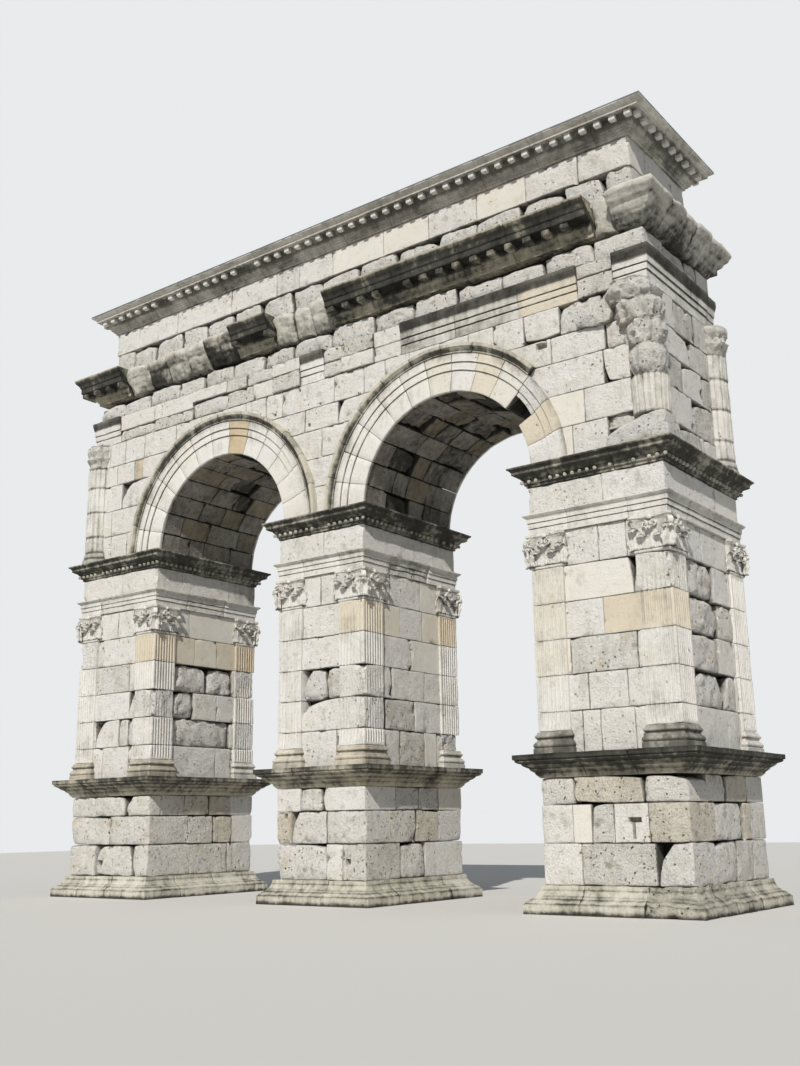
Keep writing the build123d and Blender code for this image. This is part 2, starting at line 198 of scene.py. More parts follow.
def rugged(points, size, seed=0, octaves=3):
    """Noise with finer lumps on the larger ones."""
    total, strength = 0, 1
    for octave in range(octaves):
        total = total + strength * lumps(points, size / 2 ** octave, seed + octave)
        strength *= 0.5
    return total / 1.5


def drift(points, size, seed=0):
    """A noise vector for each point."""
    return np.stack([rugged(points, size, seed + 11 * axis, 2) for axis in range(3)], -1)


# Gathering stones into one mesh

class Pile:
    """Closed stones gathered into one mesh, with a tint, a grime value that also carries painted shade, and a
    relief value on every point.
    """

    def __init__(self):
        self.points, self.tints, self.grimes, self.reliefs = [], [], [], []
        self.corners, self.counts = [], []
        self.size = 0

    def add(self, points, quads, rims, tint, grime, relief=0.5):
        """Add one stone: its points, four-cornered faces, and end faces of any number of corners."""
        points = np.asarray(points, float)
        self.points.append(points)
        self.tints.append(np.broadcast_to(np.clip(tint, 0, 1.1), len(points)).astype(float))
        self.grimes.append(np.broadcast_to(np.clip(grime, 0, 1), len(points)).astype(float))
        self.reliefs.append(np.broadcast_to(relief, len(points)).astype(float))
        self.corners.append((np.asarray(quads) + self.size).ravel())
        self.counts.append(np.full(len(quads), 4))
        for rim in rims:
            self.corners.append(np.asarray(rim) + self.size)
            self.counts.append(np.array([len(rim)]))
        self.size += len(points)

    def mesh(self, name, smooth=38):
        """Turn the pile into a mesh whose sharp edges stay sharp."""
        points = np.concatenate(self.points)
        corners = np.concatenate(self.corners)
        counts = np.concatenate(self.counts)
        made = bpy.data.meshes.new(name)
        made.vertices.add(len(points))
        made.vertices.foreach_set("co", points.astype(np.float32).ravel())
        made.loops.add(len(corners))
        made.loops.foreach_set("vertex_index", corners.astype(np.int32))
        made.polygons.add(len(counts))
        starts = np.concatenate([[0], np.cumsum(counts)[:-1]])
        made.polygons.foreach_set("loop_start", starts.astype(np.int32))
        made.update(calc_edges=True)
        made.validate()
        for label, values in (("tint", self.tints), ("grime", self.grimes), ("relief", self.reliefs)):
            layer = made.attributes.new(label, "FLOAT", "POINT")
            layer.data.foreach_set("value", np.concatenate(values).astype(np.float32))
        made.shade_smooth()
        made.set_sharp_from_angle(angle=math.radians(smooth))
        return made


def show(pile, name, material, nodes=(), smooth=38):
    """Link a pile as one piece on the root body, in place of its CAD nodes."""
    for old in [o for o in bpy.data.objects if o.name == name]:
        bpy.data.objects.remove(old)
    data = pile if isinstance(pile, bpy.types.Mesh) else pile.mesh(name, smooth)
    data.materials.clear()
    data.materials.append(material)
    piece = bpy.data.objects.new(name, data)
    bpy.context.scene.collection.objects.link(piece)
    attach(piece, "root")
    if nodes:
        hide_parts(*nodes)
    return piece


# Stone shapes

def tube(rows, around, across=False):
    """Faces of a closed tube of points laid row after row, and its two end faces.

    across says that the points of a row run clockwise, seen from the last row."""
    index = np.arange(rows * around).reshape(rows, around)
    after = np.roll(index, -1, axis=1)
    if across:
        faces, rims = (index[:-1], index[1:], after[1:], after[:-1]), [index[0], index[-1][::-1]]
    else:
        faces, rims = (index[:-1], after[:-1], after[1:], index[1:]), [index[0][::-1], index[-1]]
    return np.stack(faces, -1).reshape(-1, 4), rims


def mirrored(quads, rims):
    """The same faces, turned for a stone built the other way round."""
    return quads[:, ::-1], [rim[::-1] for rim in rims]


def lines(length, step, edges=(0, 0.012, 0.04)):
    """Grid lines along a length: a few close to each end and the rest evenly spaced."""
    near = [edge for edge in edges if edge < length * 0.4]
    inner = length - 2 * near[-1]
    count = max(1, int(round(inner / step)))
    middle = [near[-1] + inner * i / count for i in range(1, count)]
    return np.array(near + middle + [length - edge for edge in reversed(near)])


def shell(across, up, deep):
    """Closed box skin: gridded front, gridded sides and one back face, in width, height and depth."""
    grid_u, grid_v = np.meshgrid(across, up)
    front = np.stack([grid_u, grid_v, 0 * grid_u], -1).reshape(-1, 3)
    index = np.arange(len(front)).reshape(len(up), len(across))
    quads = [np.stack([index[:-1, :-1], index[:-1, 1:], index[1:, 1:], index[1:, :-1]], -1).reshape(-1, 4)]
    before = np.concatenate([index[0, :-1], index[:-1, -1], index[-1, :0:-1], index[:0:-1, 0]])
    ring, points = front[before], [front]
    total = len(front)
    for depth in deep[1:]:
        moved = ring.copy()
        moved[:, 2] = depth
        after = np.arange(len(ring)) + total
        quads.append(np.stack([before, after, np.roll(after, -1), np.roll(before, -1)], -1))
        points.append(moved)
        total += len(ring)
        before = after
    return np.concatenate(points), np.concatenate(quads), [before[::-1]]


def soften(points, size, radius):
    """Round the front edges of a box skin by a radius that may differ from point to point."""
    radius = np.minimum(radius, 0.46 * min(size[0], size[1]))
    nearest = np.stack([np.clip(points[:, 0], radius, size[0] - radius),
                        np.clip(points[:, 1], radius, size[1] - radius),
                        np.maximum(points[:, 2], radius)], -1)
    away = points - nearest
    far = np.linalg.norm(away, axis=1)
    scale = np.where(far > 1e-9, radius / np.maximum(far, 1e-9), 0)
    return nearest + away * scale[:, None]


def with_edges(marks, first, last):
    """Grid lines with a close pair at both edges of a socket, and none just beside them."""
    edges = [first, first + 0.008, last - 0.008, last]
    kept = [m for m in marks if all(abs(m - e) > 0.012 for e in edges) or m in (marks[0], marks[-1])]
    return np.array(sorted(kept + edges))


def scoop(points, centre, radius):
    """Push the points inside a ball out to its surface, as a lost chip leaves the stone."""
    away = points - np.asarray(centre)
    far = np.linalg.norm(away, axis=1)
    inside = far < radius
    points[inside] = np.asarray(centre) + away[inside] * (radius / np.maximum(far[inside], 1e-6))[:, None]
    return points


def slumped_corners(width, height, slump, rng):
    """Shifts of a stone's corners, from bottom left round to top left, as erosion leaves them."""
    reach = slump * min(width, height)
    shifts = []
    for inward, down in ((1, 0.0), (-1, 0.0), (-1, -0.34), (1, -0.34)):
        far = 0.42 if down else 0.16
        shifts.append((inward * reach * far * float(rng.uniform(0, 1)) ** 1.5,
                       reach * (down * float(rng.uniform(0, 1)) ** 1.5 + (0 if down else 0.05))))
    return shifts


def stone(pile, place, size, finish, rng, step=0.075, pull=None, chips=1.0, wrap=False, clear=None,
          joint=0.005, holes=(), **changes):
    """One squared or eroded block. place turns width, height, depth into the arch's own frame.

    pull moves corners by their number. holes are sockets in its face: left, right, bottom and top from
    its lower left corner."""
    look = dict({"slump": 0.0, "swell": 0.0}, **dict(FINISHES[finish], **changes))
    width, height, depth = size[0] - 2 * joint, size[1] - 2 * joint, size[2]
    if width < 0.03 or height < 0.03:
        return
    deep = lines(depth, 0.11 if wrap else 0.25, (0, 0.015, 0.06))
    if not wrap:
        deep = deep[:3] if depth < 0.3 else np.append(deep[:3], [0.16, depth])
    across, up = lines(width, step), lines(height, step)
    for left, right, bottom, top in holes:
        across = with_edges(across, left - joint, right - joint)
        up = with_edges(up, bottom - joint, top - joint)
    points, quads, rims = shell(across, up, deep)
    sunk = np.zeros(len(points), bool)
    for left, right, bottom, top in holes:
        sunk |= ((points[:, 0] > left - joint + 0.004) & (points[:, 0] < right - joint - 0.004)
                 & (points[:, 1] > bottom - joint + 0.004) & (points[:, 1] < top - joint - 0.004)
                 & (points[:, 2] < 0.001))
    near_edge = np.minimum(points[:, 1], height - points[:, 1])
    if not wrap:
        near_edge = np.minimum(near_edge, np.minimum(points[:, 0], width - points[:, 0]))
    # Dark lines at the edges of the face: the joints' own colour, partly painted shade in them
    joint_dirt_and_shade = 0.32 * (near_edge < 0.004)
    seed = int(rng.integers(1, 100000))
    offset = rng.uniform(-50, 50, 3)
    uneven = np.clip(0.6 + 0.75 * lumps(points + offset, 0.14, seed), 0.15, 1.6)
    points = soften(points, (width, height), look["edge"] * uneven)
    for _ in range(rng.poisson(2.0 * chips)):
        side = rng.integers(4)
        reach = rng.uniform(0.02, 0.080) * (1.4 if look["edge"] > 0.02 else 1)
        spot = [(rng.uniform(0, width), 0), (width, rng.uniform(0, height)),
                (rng.uniform(0, width), height), (0, rng.uniform(0, height))][side]
        points = scoop(points, (spot[0], spot[1], -0.25 * reach), reach)
    if pull is None and look["slump"] and not wrap:
        pull = dict(enumerate(slumped_corners(width, height, look["slump"], rng)))
    share_u, share_v = np.clip(points[:, 0] / width, 0, 1), np.clip(points[:, 1] / height, 0, 1)
    swelling = look["swell"] * ((2 * share_u - 1) ** 4 + (2 * share_v - 1) ** 4)
    if pull is not None:
        weights = [(1 - share_u) * (1 - share_v), share_u * (1 - share_v), share_u * share_v,
                   (1 - share_u) * share_v]
        points[:, 0] += sum(weights[corner] ** 2.2 * shift[0] for corner, shift in pull.items())
        points[:, 1] += sum(weights[corner] ** 2.2 * shift[1] for corner, shift in pull.items())
    face = np.clip(1 - points[:, 2] / 0.10, 0, 1)
    points[:, 2] += look["back"] + swelling * face
    rough = look["rough"]
    uneven = 1.3 * rugged(points + offset, 0.32, seed) + 0.8 * lumps(points + offset, 0.11, seed)
    points[:, 2] += rough * uneven * face
    points += 0.5 * rough * drift(points + offset, 0.22, seed)
    points[sunk, 2] += 0.14
    points[:, :2] += joint
    world = place(points)
    if clear is not None:
        world = clear(world)
    tint = look["tint"] + rng.normal(0, 0.035) + 0.05 * lumps(world, 0.4, 3)
    grime = look["grime"] + rng.normal(0, 0.03) + joint_dirt_and_shade + 0.10 * rugged(world, 0.5, 7)
    # Sides more than 2 cm behind the face are darker: painted shade in the joints, with dirt
    if not wrap:
        grime = grime + 0.28 * np.clip((points[:, 2] - look["back"] - look["swell"] - 0.02) / 0.06, 0, 1)
    pile.add(world, quads, rims, tint, grime, look["relief"])


def flat_place(face, centre, distance, left, bottom):
    """Placing rule for a stone on a flat face: its left edge and bottom are given in the arch's frame."""
    along, outward = np.array(FACES[face][0], float), np.array(FACES[face][1], float)
    origin = np.array([centre[0], centre[1], 0.0]) + outward * distance + along * left
    origin[2] = bottom

    def place(points):
        return (origin + points[:, :1] * along + points[:, 1:2] * np.array([0, 0, 1.0])
                - points[:, 2:3] * outward)
    return place


def keep_clear_of_arches(radius):
    """Rule that pushes points of a block out of both archways."""
    def clear(points):
        for centre in (-ARCH_X, ARCH_X):
            away = points[:, [0, 2]] - np.array([centre, SPRINGING])
            far = np.hypot(away[:, 0], away[:, 1])
            inside = (far < radius) & (away[:, 1] > -0.05)
            scale = radius / np.maximum(far[inside], 1e-6)
            points[inside, 0] = centre + away[inside, 0] * scale
            points[inside, 2] = SPRINGING + np.maximum(away[inside, 1], 0) * scale
        return points
    return clear


def course(pile, face, centre, distance, bottom, top, cuts, rng, depth=0.42, ends=(None, None),
           pulls=None, radius=None, holes=(), drop=0.0, **changes):
    """One course of stones along a face. cuts alternates joint, finish, joint, finish, ... joint.

    ends gives the depth of the first and last stone where they turn a corner.
    pulls moves corners of single stones: {number of the stone: {corner: shift}}.
    drop is how much lower than the course a stone may end."""
    joints, finishes = cuts[0::2], cuts[1::2]
    clear = keep_clear_of_arches(radius) if radius else None
    for number, finish in enumerate(finishes):
        left, right = joints[number], joints[number + 1]
        if radius and inside_arch(left, right, bottom, top, radius):
            continue
        turn = (ends[0] if number == 0 else None) or (ends[1] if number == len(finishes) - 1 else None)
        own = [(a - left, b - left, c - bottom, d - bottom) for a, b, c, d in holes
               if a > left + 0.02 and b < right - 0.02 and c > bottom + 0.02 and d < top - 0.02]
        height = top - bottom - (rng.uniform(0, drop) if drop else 0)
        stone(pile, flat_place(face, centre, distance, left, bottom), (right - left, height, turn or depth),
              finish, rng, wrap=turn is not None, clear=clear, pull=(pulls or {}).get(number), holes=own,
              **changes)


def inside_arch(left, right, bottom, top, radius):
    """Whether a block on the front or back lies wholly inside an archway."""
    for centre in (-ARCH_X, ARCH_X):
        if all(math.hypot(x - centre, z - SPRINGING) < radius + 0.03 for x in (left, right)
               for z in (bottom, top)):
            return True
    return False


def random_cuts(start, end, rng, mean=0.75, palette=("white", "white", "pitted", "grey", "cream", "worn")):
    """Joints and finishes for a course that the photograph doesn't show."""
    count = max(1, int(round((end - start) / mean)))
    marks = np.linspace(start, end, count + 1)
    marks[1:-1] += rng.uniform(-0.28, 0.28, count - 1) * (end - start) / count
    cuts = [marks[0]]
    for mark in marks[1:]:
        cuts += [str(rng.choice(palette)), float(mark)]
    return cuts


# Mouldings

def densify(outline, step):
    """Add points on the long straights of an outline."""
    outline = np.array(outline, float)
    dense = []
    for start, end in zip(outline[:-1], outline[1:]):
        count = max(1, int(math.ceil(math.hypot(*(end - start)[:2]) / step)))
        dense += [start + (end - start) * i / count for i in range(count)]
    return np.array(dense + [outline[-1]])


def with_quirks(profile, lift=0.03, depth=0.06, dirt_and_shade=0.5):
    """A profile with a small groove under each of its steps; its third value darkens the groove: painted
    shade, with dirt.
    """
    made = [(*profile[0], 0.0)]
    for (x0, z0), (x1, z1) in zip(profile[:-1], profile[1:]):
        if z1 == z0 and x1 > x0:
            made[-1] = (x0, z0 - lift, 0.0)
            made += [(x0 - depth, z0 - 0.2 * lift, dirt_and_shade), (x1, z1, 0.5 * dirt_and_shade), (x1, z1 + 0.5 * lift, 0.0)]
        else:
            made.append((x1, z1, 0.0))
    return made


def ring_corners(half_x, half_y):
    """Distances of the four corners of a rectangle from its front left one."""
    return [0, 2 * half_x, 2 * half_x + 2 * half_y, 4 * half_x + 2 * half_y]


def ring_point(s, half_x, half_y):
    """Point and outward direction at a distance round a rectangle, from its front left corner."""
    sides = [2 * half_x, 2 * half_y, 2 * half_x, 2 * half_y]
    s = s % sum(sides)
    for number, length in enumerate(sides):
        if s < length - 1e-6 or number == 3:
            break
        s -= length
    corner = abs(s) < 1e-6
    t = s - length / 2
    spots = [((t, -half_y), (0, -1)), ((half_x, t), (1, 0)), ((-t, half_y), (0, 1)), ((-half_x, -t), (-1, 0))]
    at, out = spots[number]
    if corner:
        other = [(-1, 0), (0, -1), (1, 0), (0, 1)][number]
        out = (out[0] + other[0], out[1] + other[1])
    return at, out


def moulded_stone(pile, start, end, centre, half_x, half_y, bottom, outline, rng, inner=0.30, step=0.12,
                  worn=0.15, share=None, tint=0.1, grime=0.3, under=0.0, rough=0.004, dense=0.06, sunk=0.008,
                  shade=None, bulge=0.0):
    """One length of moulding between two joints, turning the corners of a rectangle with mitres.

    outline is a list of projection and height. worn runs from 0, crisp, to 1, shapeless. share is
    how much of the projection a broken stone has left. The underside term darkens what faces down:
    painted shade, with crust. shade is a list of height and extra darkening, painted shade with dirt,
    and bulge rounds the stone off towards its joints."""
    turn = [2 * half_x, 2 * half_y, 2 * half_x, 2 * half_y]
    corners = [sum(turn[:i]) + lap * sum(turn) for lap in (0, 1) for i in range(4)]
    marks = list(start + lines(end - start, step, (0, 0.012)))
    inside = [c for c in corners if start + 0.02 < c < end - 0.02]
    marks = sorted([m for m in marks if all(abs(m - c) > 0.35 * step for c in inside)] + inside)
    shape = densify(outline, dense)
    # A third value in the outline darkens that line: painted shade in the groove, with dirt
    line_dirt_and_shade = np.concatenate([[0], shape[:, 2], [0]]) if shape.shape[1] > 2 else 0
    shape = shape[:, :2]
    steps = np.linalg.norm(np.diff(shape, axis=0), axis=1)
    slope = np.diff(shape, axis=0) / np.maximum(steps, 1e-9)[:, None]
    facing_down = np.concatenate([[slope[0, 0]], (slope[:-1, 0] + slope[1:, 0]) / 2, [slope[-1, 0]]])
    smooth = shape.copy()
    for _ in range(6):
        smooth[1:-1] = (smooth[:-2] + 2 * smooth[1:-1] + smooth[2:]) / 4
    closed = np.concatenate([[(-inner, shape[0, 1])], shape, [(-inner, shape[-1, 1])]])
    melted = np.concatenate([[closed[0]], smooth, [closed[-1]]])
    down = np.concatenate([[0], facing_down, [0]])
    reach = shape[:, 0].max()
    seed = int(rng.integers(1, 90000))
    rows, dirt_and_shade = [], []
    for mark in marks:
        (x, y), (dx, dy) = ring_point(mark, half_x, half_y)
        at = np.stack([np.full(len(closed), x + centre[0]) + dx * closed[:, 0],
                       np.full(len(closed), y + centre[1]) + dy * closed[:, 0], closed[:, 1] + bottom], -1)
        wear = np.clip(worn + 0.5 * min(worn * 2, 1) * rugged(at, 0.30, seed), 0, 1)[:, None]
        section = closed * (1 - wear) + melted * wear
        section[:, 0] -= 0.05 * wear[:, 0] * worn
        if share is not None:
            limit = reach * share * (1 + 0.28 * rugged(at * [1, 1, 0.8], 0.26, seed + 5))
            broken = section[:, 0] > limit
            section[:, 0] = np.where(broken, limit + 0.2 * (section[:, 0] - limit), section[:, 0])
        if mark in (marks[0], marks[-1]):
            section[:, 0] -= sunk
        if bulge:
            t = abs(2 * (mark - start) / (end - start) - 1)
            section[:, 0] -= bulge * t ** 4
            section[:, 1] *= 1 - 0.25 * bulge * (1 + 2 * rugged(at * [1, 1, 0], 0.3, seed + 3))
        section[0, 0] = section[-1, 0] = -max(0.03, min(inner, min(abs(mark - c) for c in corners)))
        at = np.stack([x + centre[0] + dx * section[:, 0], y + centre[1] + dy * section[:, 0],
                       section[:, 1] + bottom], -1)
        rows.append(at)
        # Extra darkening by height and on what faces down: painted shade, with dirt and crust
        extra = np.interp(section[:, 1], *zip(*shade)) if shade else 0
        dirt_and_shade.append(grime + under * np.clip(down, 0, 1) + extra + line_dirt_and_shade)
    points = np.concatenate(rows)
    wobble = (rough + 0.02 * worn + (0.012 if share is not None else 0)) * drift(points, 0.16, seed + 9)
    points = points + wobble
    quads, rims = tube(len(marks), len(closed), True)
    dirt_and_shade = np.concatenate(dirt_and_shade) + 0.22 * rugged(points, 0.45, 21)
    # Joints darker: their own colour, partly painted shade in them
    joint_dirt_and_shade = np.zeros((len(marks), len(closed)))
    joint_dirt_and_shade[[0, -1]] = 0.3
    tint = tint + 0.05 * lumps(points, 0.35, 5) + rng.normal(0, 0.03)
    pile.add(points, quads, rims, tint, dirt_and_shade + joint_dirt_and_shade.ravel(), min(1.0, 0.35 + 0.8 * worn))


def moulding_ring(pile, joints, centre, half_x, half_y, bottom, outline, rng, looks=None, **common):
    """A moulding all the way round a rectangle. joints are distances from the front left corner."""
    total = 4 * (half_x + half_y)
    joints = sorted(j % total for j in joints)
    for number, start in enumerate(joints):
        end = joints[number + 1] if number + 1 < len(joints) else joints[0] + total
        settings = dict(common)
        settings.update((looks or {}).get(number, {}))
        moulded_stone(pile, start, end, centre, half_x, half_y, bottom, outline, rng, **settings)


# Arches

def arch_stone(pile, centre, face, start, end, outline, rng, step=0.14, worn=0.05, tint=0.2, grime=0.1,
               rough=0.003, dense=0.08, sunk=0.006):
    """One wedge stone of an arch between two angles in degrees. outline is radius, projection from
    the middle of the wall, and extra darkening: painted shade in the grooves at the steps, with dirt."""
    shape = densify(outline, dense)
    shape, line_dirt_and_shade = shape[:, :2], shape[:, 2]
    middle = shape[:, 0].mean()
    length = math.radians(end - start) * middle
    marks = math.radians(start) + lines(length, step, (0, 0.012)) / middle
    seed = int(rng.integers(1, 90000))
    rows = []
    for mark in marks:
        section = shape.copy()
        if mark in (marks[0], marks[-1]):
            section[1:-1, 1] -= sunk
            section[0, 0] += 0.5 * sunk
        rows.append(np.stack([centre + section[:, 0] * math.cos(mark), face * section[:, 1],
                              SPRINGING + section[:, 0] * math.sin(mark)], -1))
    points = np.concatenate(rows)
    points = points + (rough + 0.03 * worn) * drift(points, 0.18, seed)
    points[:, 1] -= face * worn * 0.05 * np.clip(0.5 + rugged(points, 0.25, seed + 3), 0, 1)
    quads, rims = tube(len(marks), len(shape), True)
    if face < 0:
        quads, rims = mirrored(quads, rims)
    dirt_and_shade = np.zeros((len(marks), len(shape))) + grime + line_dirt_and_shade
    dirt_and_shade[[0, -1]] += 0.25
    dirt_and_shade = dirt_and_shade.ravel() + 0.12 * rugged(points, 0.5, 31)
    tint = tint + rng.normal(0, 0.03) + 0.04 * lumps(points, 0.4, 5)
    pile.add(points, quads, rims, tint, dirt_and_shade, min(1.0, 0.22 + 1.5 * worn))


def vault_place(centre, start, front):
    """Placing rule for a block of the barrel: width along the arc, height along the depth of the wall."""
    def place(points):
        turn = math.radians(start) + points[:, 0] / ARCH_RADIUS
        radius = ARCH_RADIUS + points[:, 2]
        return np.stack([centre + radius * np.cos(turn), front + points[:, 1],
                         SPRINGING + radius * np.sin(turn)], -1)
    return place


# Posts and columns

FLUTE_GROOVE = [(-0.030, 0.0), (-0.0212, 0.024), (0.0, 0.035), (0.0212, 0.024), (0.030, 0.0)]


def post_plan(half, pitch=0.084, count=7):
    """Plan of a corner post: flat points, and how far a crisp flute pushes each one in."""
    across = [((i - (count - 1) / 2) * pitch + t, depth) for i in range(count) for t, depth in FLUTE_GROOVE]
    flat = [(-half, -half), (half, -half)]
    groove = [(0, 0), (0, 0)]
    for t, depth in across:
        flat.append((half, t))
        groove.append((-depth, 0))
    flat += [(half, half - 0.018), (half, half), (half - 0.018, half)]
    groove += [(0, 0)] * 3
    for t, depth in reversed(across):
        flat.append((t, half))
        groove.append((0, -depth))
    flat.append((-half, half))
    groove.append((0, 0))
    return np.array(flat), np.array(groove)


def post_drum(pile, pier_x, pier_half, side, face, bottom, top, rng, worn=0.1, tint=0.15, grime=0.12,
              rough=0.003, round_ends=0.012, corner=0.02, starts=False, stops=False, patch=None):
    """One drum of a corner post. worn fades its flutes, corner rounds its outer corner, and patch is
    a height range within which the flutes are kept."""
    half = POST_SIZE / 2
    flat, groove = post_plan(half)
    height = top - bottom - 0.006
    rows = lines(height, 0.085, (0, 0.012, 0.035))
    count = len(flat)
    points = np.concatenate([np.column_stack([flat, np.full(count, z)]) for z in rows])
    grooves = np.concatenate([groove for _ in rows])
    seed = int(rng.integers(1, 90000))
    offset = rng.uniform(-50, 50, 3)
    uneven = np.clip(0.7 + 0.8 * lumps(points + offset, 0.15, seed), 0.2, 1.8)
    near_corner = np.clip(1 - np.hypot(points[:, 0] - half, points[:, 1] - half) / 0.35, 0, 1)
    radius = np.minimum((round_ends + (corner - round_ends) * near_corner) * uneven, 0.24)
    inner = np.stack([np.minimum(points[:, 0], half - radius), np.minimum(points[:, 1], half - radius),
                      np.clip(points[:, 2], radius, height - radius)], -1)
    outer = (points[:, 0] > half - 0.34) | (points[:, 1] > half - 0.34)
    away = points - inner
    far = np.linalg.norm(away, axis=1)
    rounded = inner + away * np.where(far > 1e-9, radius / np.maximum(far, 1e-9), 0)[:, None]
    points = np.where(outer[:, None], rounded, points)
    fade = np.clip(1.15 - 1.5 * worn - 0.9 * worn * rugged(points + offset, 0.35, seed + 2), 0, 1)
    if patch is not None:
        fade = fade * np.clip((points[:, 2] - patch[0]) / 0.08, 0, 1)
        fade = fade * np.clip((patch[1] - points[:, 2]) / 0.08, 0, 1)
    if starts:
        fade = fade * np.clip((points[:, 2] - 0.05) / 0.03, 0, 1)
    if stops:
        fade = fade * np.clip((height - points[:, 2] - 0.07) / 0.03, 0, 1)
    points[:, :2] += grooves * fade[:, None]
    eaten = np.clip(1 + rugged(points + offset, 0.2, seed + 4), 0, 2)
    eaten = (0.012 * worn + 0.06 * max(worn - 0.4, 0)) * eaten
    points[:, 0] -= eaten * (points[:, 0] > half - 0.1)
    points[:, 1] -= eaten * (points[:, 1] > half - 0.1)
    points += (rough + 0.012 * worn) * drift(points + offset, 0.14, seed + 6)
    # Flutes darker by their depth: painted shade in the grooves
    flute_shade = np.linalg.norm(grooves, axis=1) / 0.035 * fade
    world = np.column_stack([pier_x + side * (pier_half + POST_OUT - half + points[:, 0]),
                             face * (POST_DEPTH - half + points[:, 1]), bottom + 0.003 + points[:, 2]])
    quads, rims = tube(len(rows), count)
    if side * face < 0:
        quads, rims = mirrored(quads, rims)
    ends = np.clip(1 - np.minimum(points[:, 2], height - points[:, 2]) / 0.02, 0, 1)
    dirt_and_shade = grime + 0.12 * rugged(world, 0.5, 7) + 0.16 * flute_shade + 0.25 * ends
    tint = tint + 0.05 * lumps(world, 0.4, 3) + rng.normal(0, 0.02)
    pile.add(world, quads, rims, tint, dirt_and_shade, min(1.0, 0.25 + 0.9 * worn))


def column_drum(pile, side, face, bottom, top, radii, rng, flutes=0.0, worn=0.3, tint=0.12, grime=0.18,
                lump=0.02, shift=0.0, crumble=0.0):
    """One drum of a corner column. radii are its radii at even steps from bottom to top, flutes is how
    deep they are left, shift moves it outwards and crumble breaks its face up into small lumps."""
    count = 18
    turns, depths = [], []
    for i in range(count):
        for share, depth in ((-0.26, 0), (0.26, 0), (0.36, 0.7), (0.5, 1), (0.64, 0.7)):
            turns.append(2 * math.pi * (i + share) / count)
            depths.append(depth)
    turns, depths = np.array(turns), np.array(depths)
    height = top - bottom
    rows = lines(height, 0.05 if crumble else 0.08, (0, 0.015, 0.05))
    seed = int(rng.integers(1, 90000))
    points = []
    for z in rows:
        around = np.column_stack([0.4 * np.cos(turns), 0.4 * np.sin(turns), np.full(len(turns), bottom + z)])
        radius = np.interp(z / height, np.linspace(0, 1, len(radii)), radii)
        end = min(z, height - z)
        ends = 0.02 * max(0, 1 - end / 0.08) ** 2
        noise = rugged(around, 0.25, seed)
        fade = np.clip(1 - worn * (0.6 + noise), 0, 1) * min(1, end / 0.06)
        reach = radius - ends - 0.028 * depths * flutes * fade + lump * noise
        if crumble:
            reach += crumble * (1 - 2.2 * np.abs(lumps(around, 0.13, seed + 7)))
            reach += 0.5 * crumble * lumps(around, 0.055, seed + 8)
        points.append(np.column_stack([np.cos(turns) * reach, np.sin(turns) * reach, np.full(len(turns), z)]))
    points = np.concatenate(points)
    points += 0.5 * lump * drift(points + [0, 0, bottom], 0.12, seed + 3)
    world = np.column_stack([side * (COLUMN_X + shift + points[:, 0]), face * (COLUMN_Y + points[:, 1]),
                             bottom + points[:, 2]])
    quads, rims = tube(len(rows), len(turns))
    if side * face < 0:
        quads, rims = mirrored(quads, rims)
    at_joint = np.minimum(points[:, 2], height - points[:, 2]) < 0.02
    dirt_and_shade = grime + 0.18 * rugged(world, 0.35, 7) + 0.3 * at_joint
    # Flutes darker by their depth: painted shade in the grooves
    dirt_and_shade = dirt_and_shade + 0.16 * flutes * np.tile(depths, len(rows))
    pile.add(world, quads, rims, tint + 0.05 * lumps(world, 0.4, 3), dirt_and_shade, min(1.0, 0.3 + 0.7 * worn))


# Carving and Geometry Nodes

def linear(hex_colour):
    """Scene-linear RGBA from a hexadecimal sRGB colour."""
    values = [int(hex_colour[i:i + 2], 16) / 255 for i in (1, 3, 5)]
    return tuple(v / 12.92 if v <= 0.04045 else ((v + 0.055) / 1.055) ** 2.4 for v in values) + (1.0,)


def node(tree, kind, place=(0, 0), values=None, links=None, stops=(), **settings):
    """Add one node with its settings, input values, incoming links and, on a ramp, its colour stops."""
    made = tree.nodes.new(kind)
    made.location = place
    for name, value in settings.items():
        setattr(made, name, value)
    for name, value in (values or {}).items():
        made.inputs[name].default_value = value
    for name, source in (links or {}).items():
        tree.links.new(source, made.inputs[name])
    for _ in stops[2:]:
        made.color_ramp.elements.new(0.5)
    for number, (position, colour) in enumerate(stops):
        made.color_ramp.elements[number].position = position
        made.color_ramp.elements[number].color = linear(colour)
    return made


def group_with(name, inputs):
    """A Geometry Nodes tree with its named inputs and one geometry output."""
    tree = bpy.data.node_groups.new(name, "GeometryNodeTree")
    tree.interface.new_socket("Geometry", in_out="INPUT", socket_type="NodeSocketGeometry")
    for label, kind, default in inputs:
        socket = tree.interface.new_socket(label, in_out="INPUT", socket_type=kind)
        if default is not None:
            socket.default_value = default
    tree.interface.new_socket("Geometry", in_out="OUTPUT", socket_type="NodeSocketGeometry")
    return tree


def end_tree(tree, source, placed):
    """Make the placed copies real, give them their stone and pass them out."""
    solid = node(tree, "GeometryNodeRealizeInstances", (1000, 0),
                 links={"Geometry": placed.outputs["Instances"]})
    finish = node(tree, "GeometryNodeSetMaterial", (1200, 0),
                  links={"Geometry": solid.outputs["Geometry"], "Material": source.outputs["Stone"]})
    node(tree, "NodeGroupOutput", (1400, 0), links={"Geometry": finish.outputs["Geometry"]})
    return tree


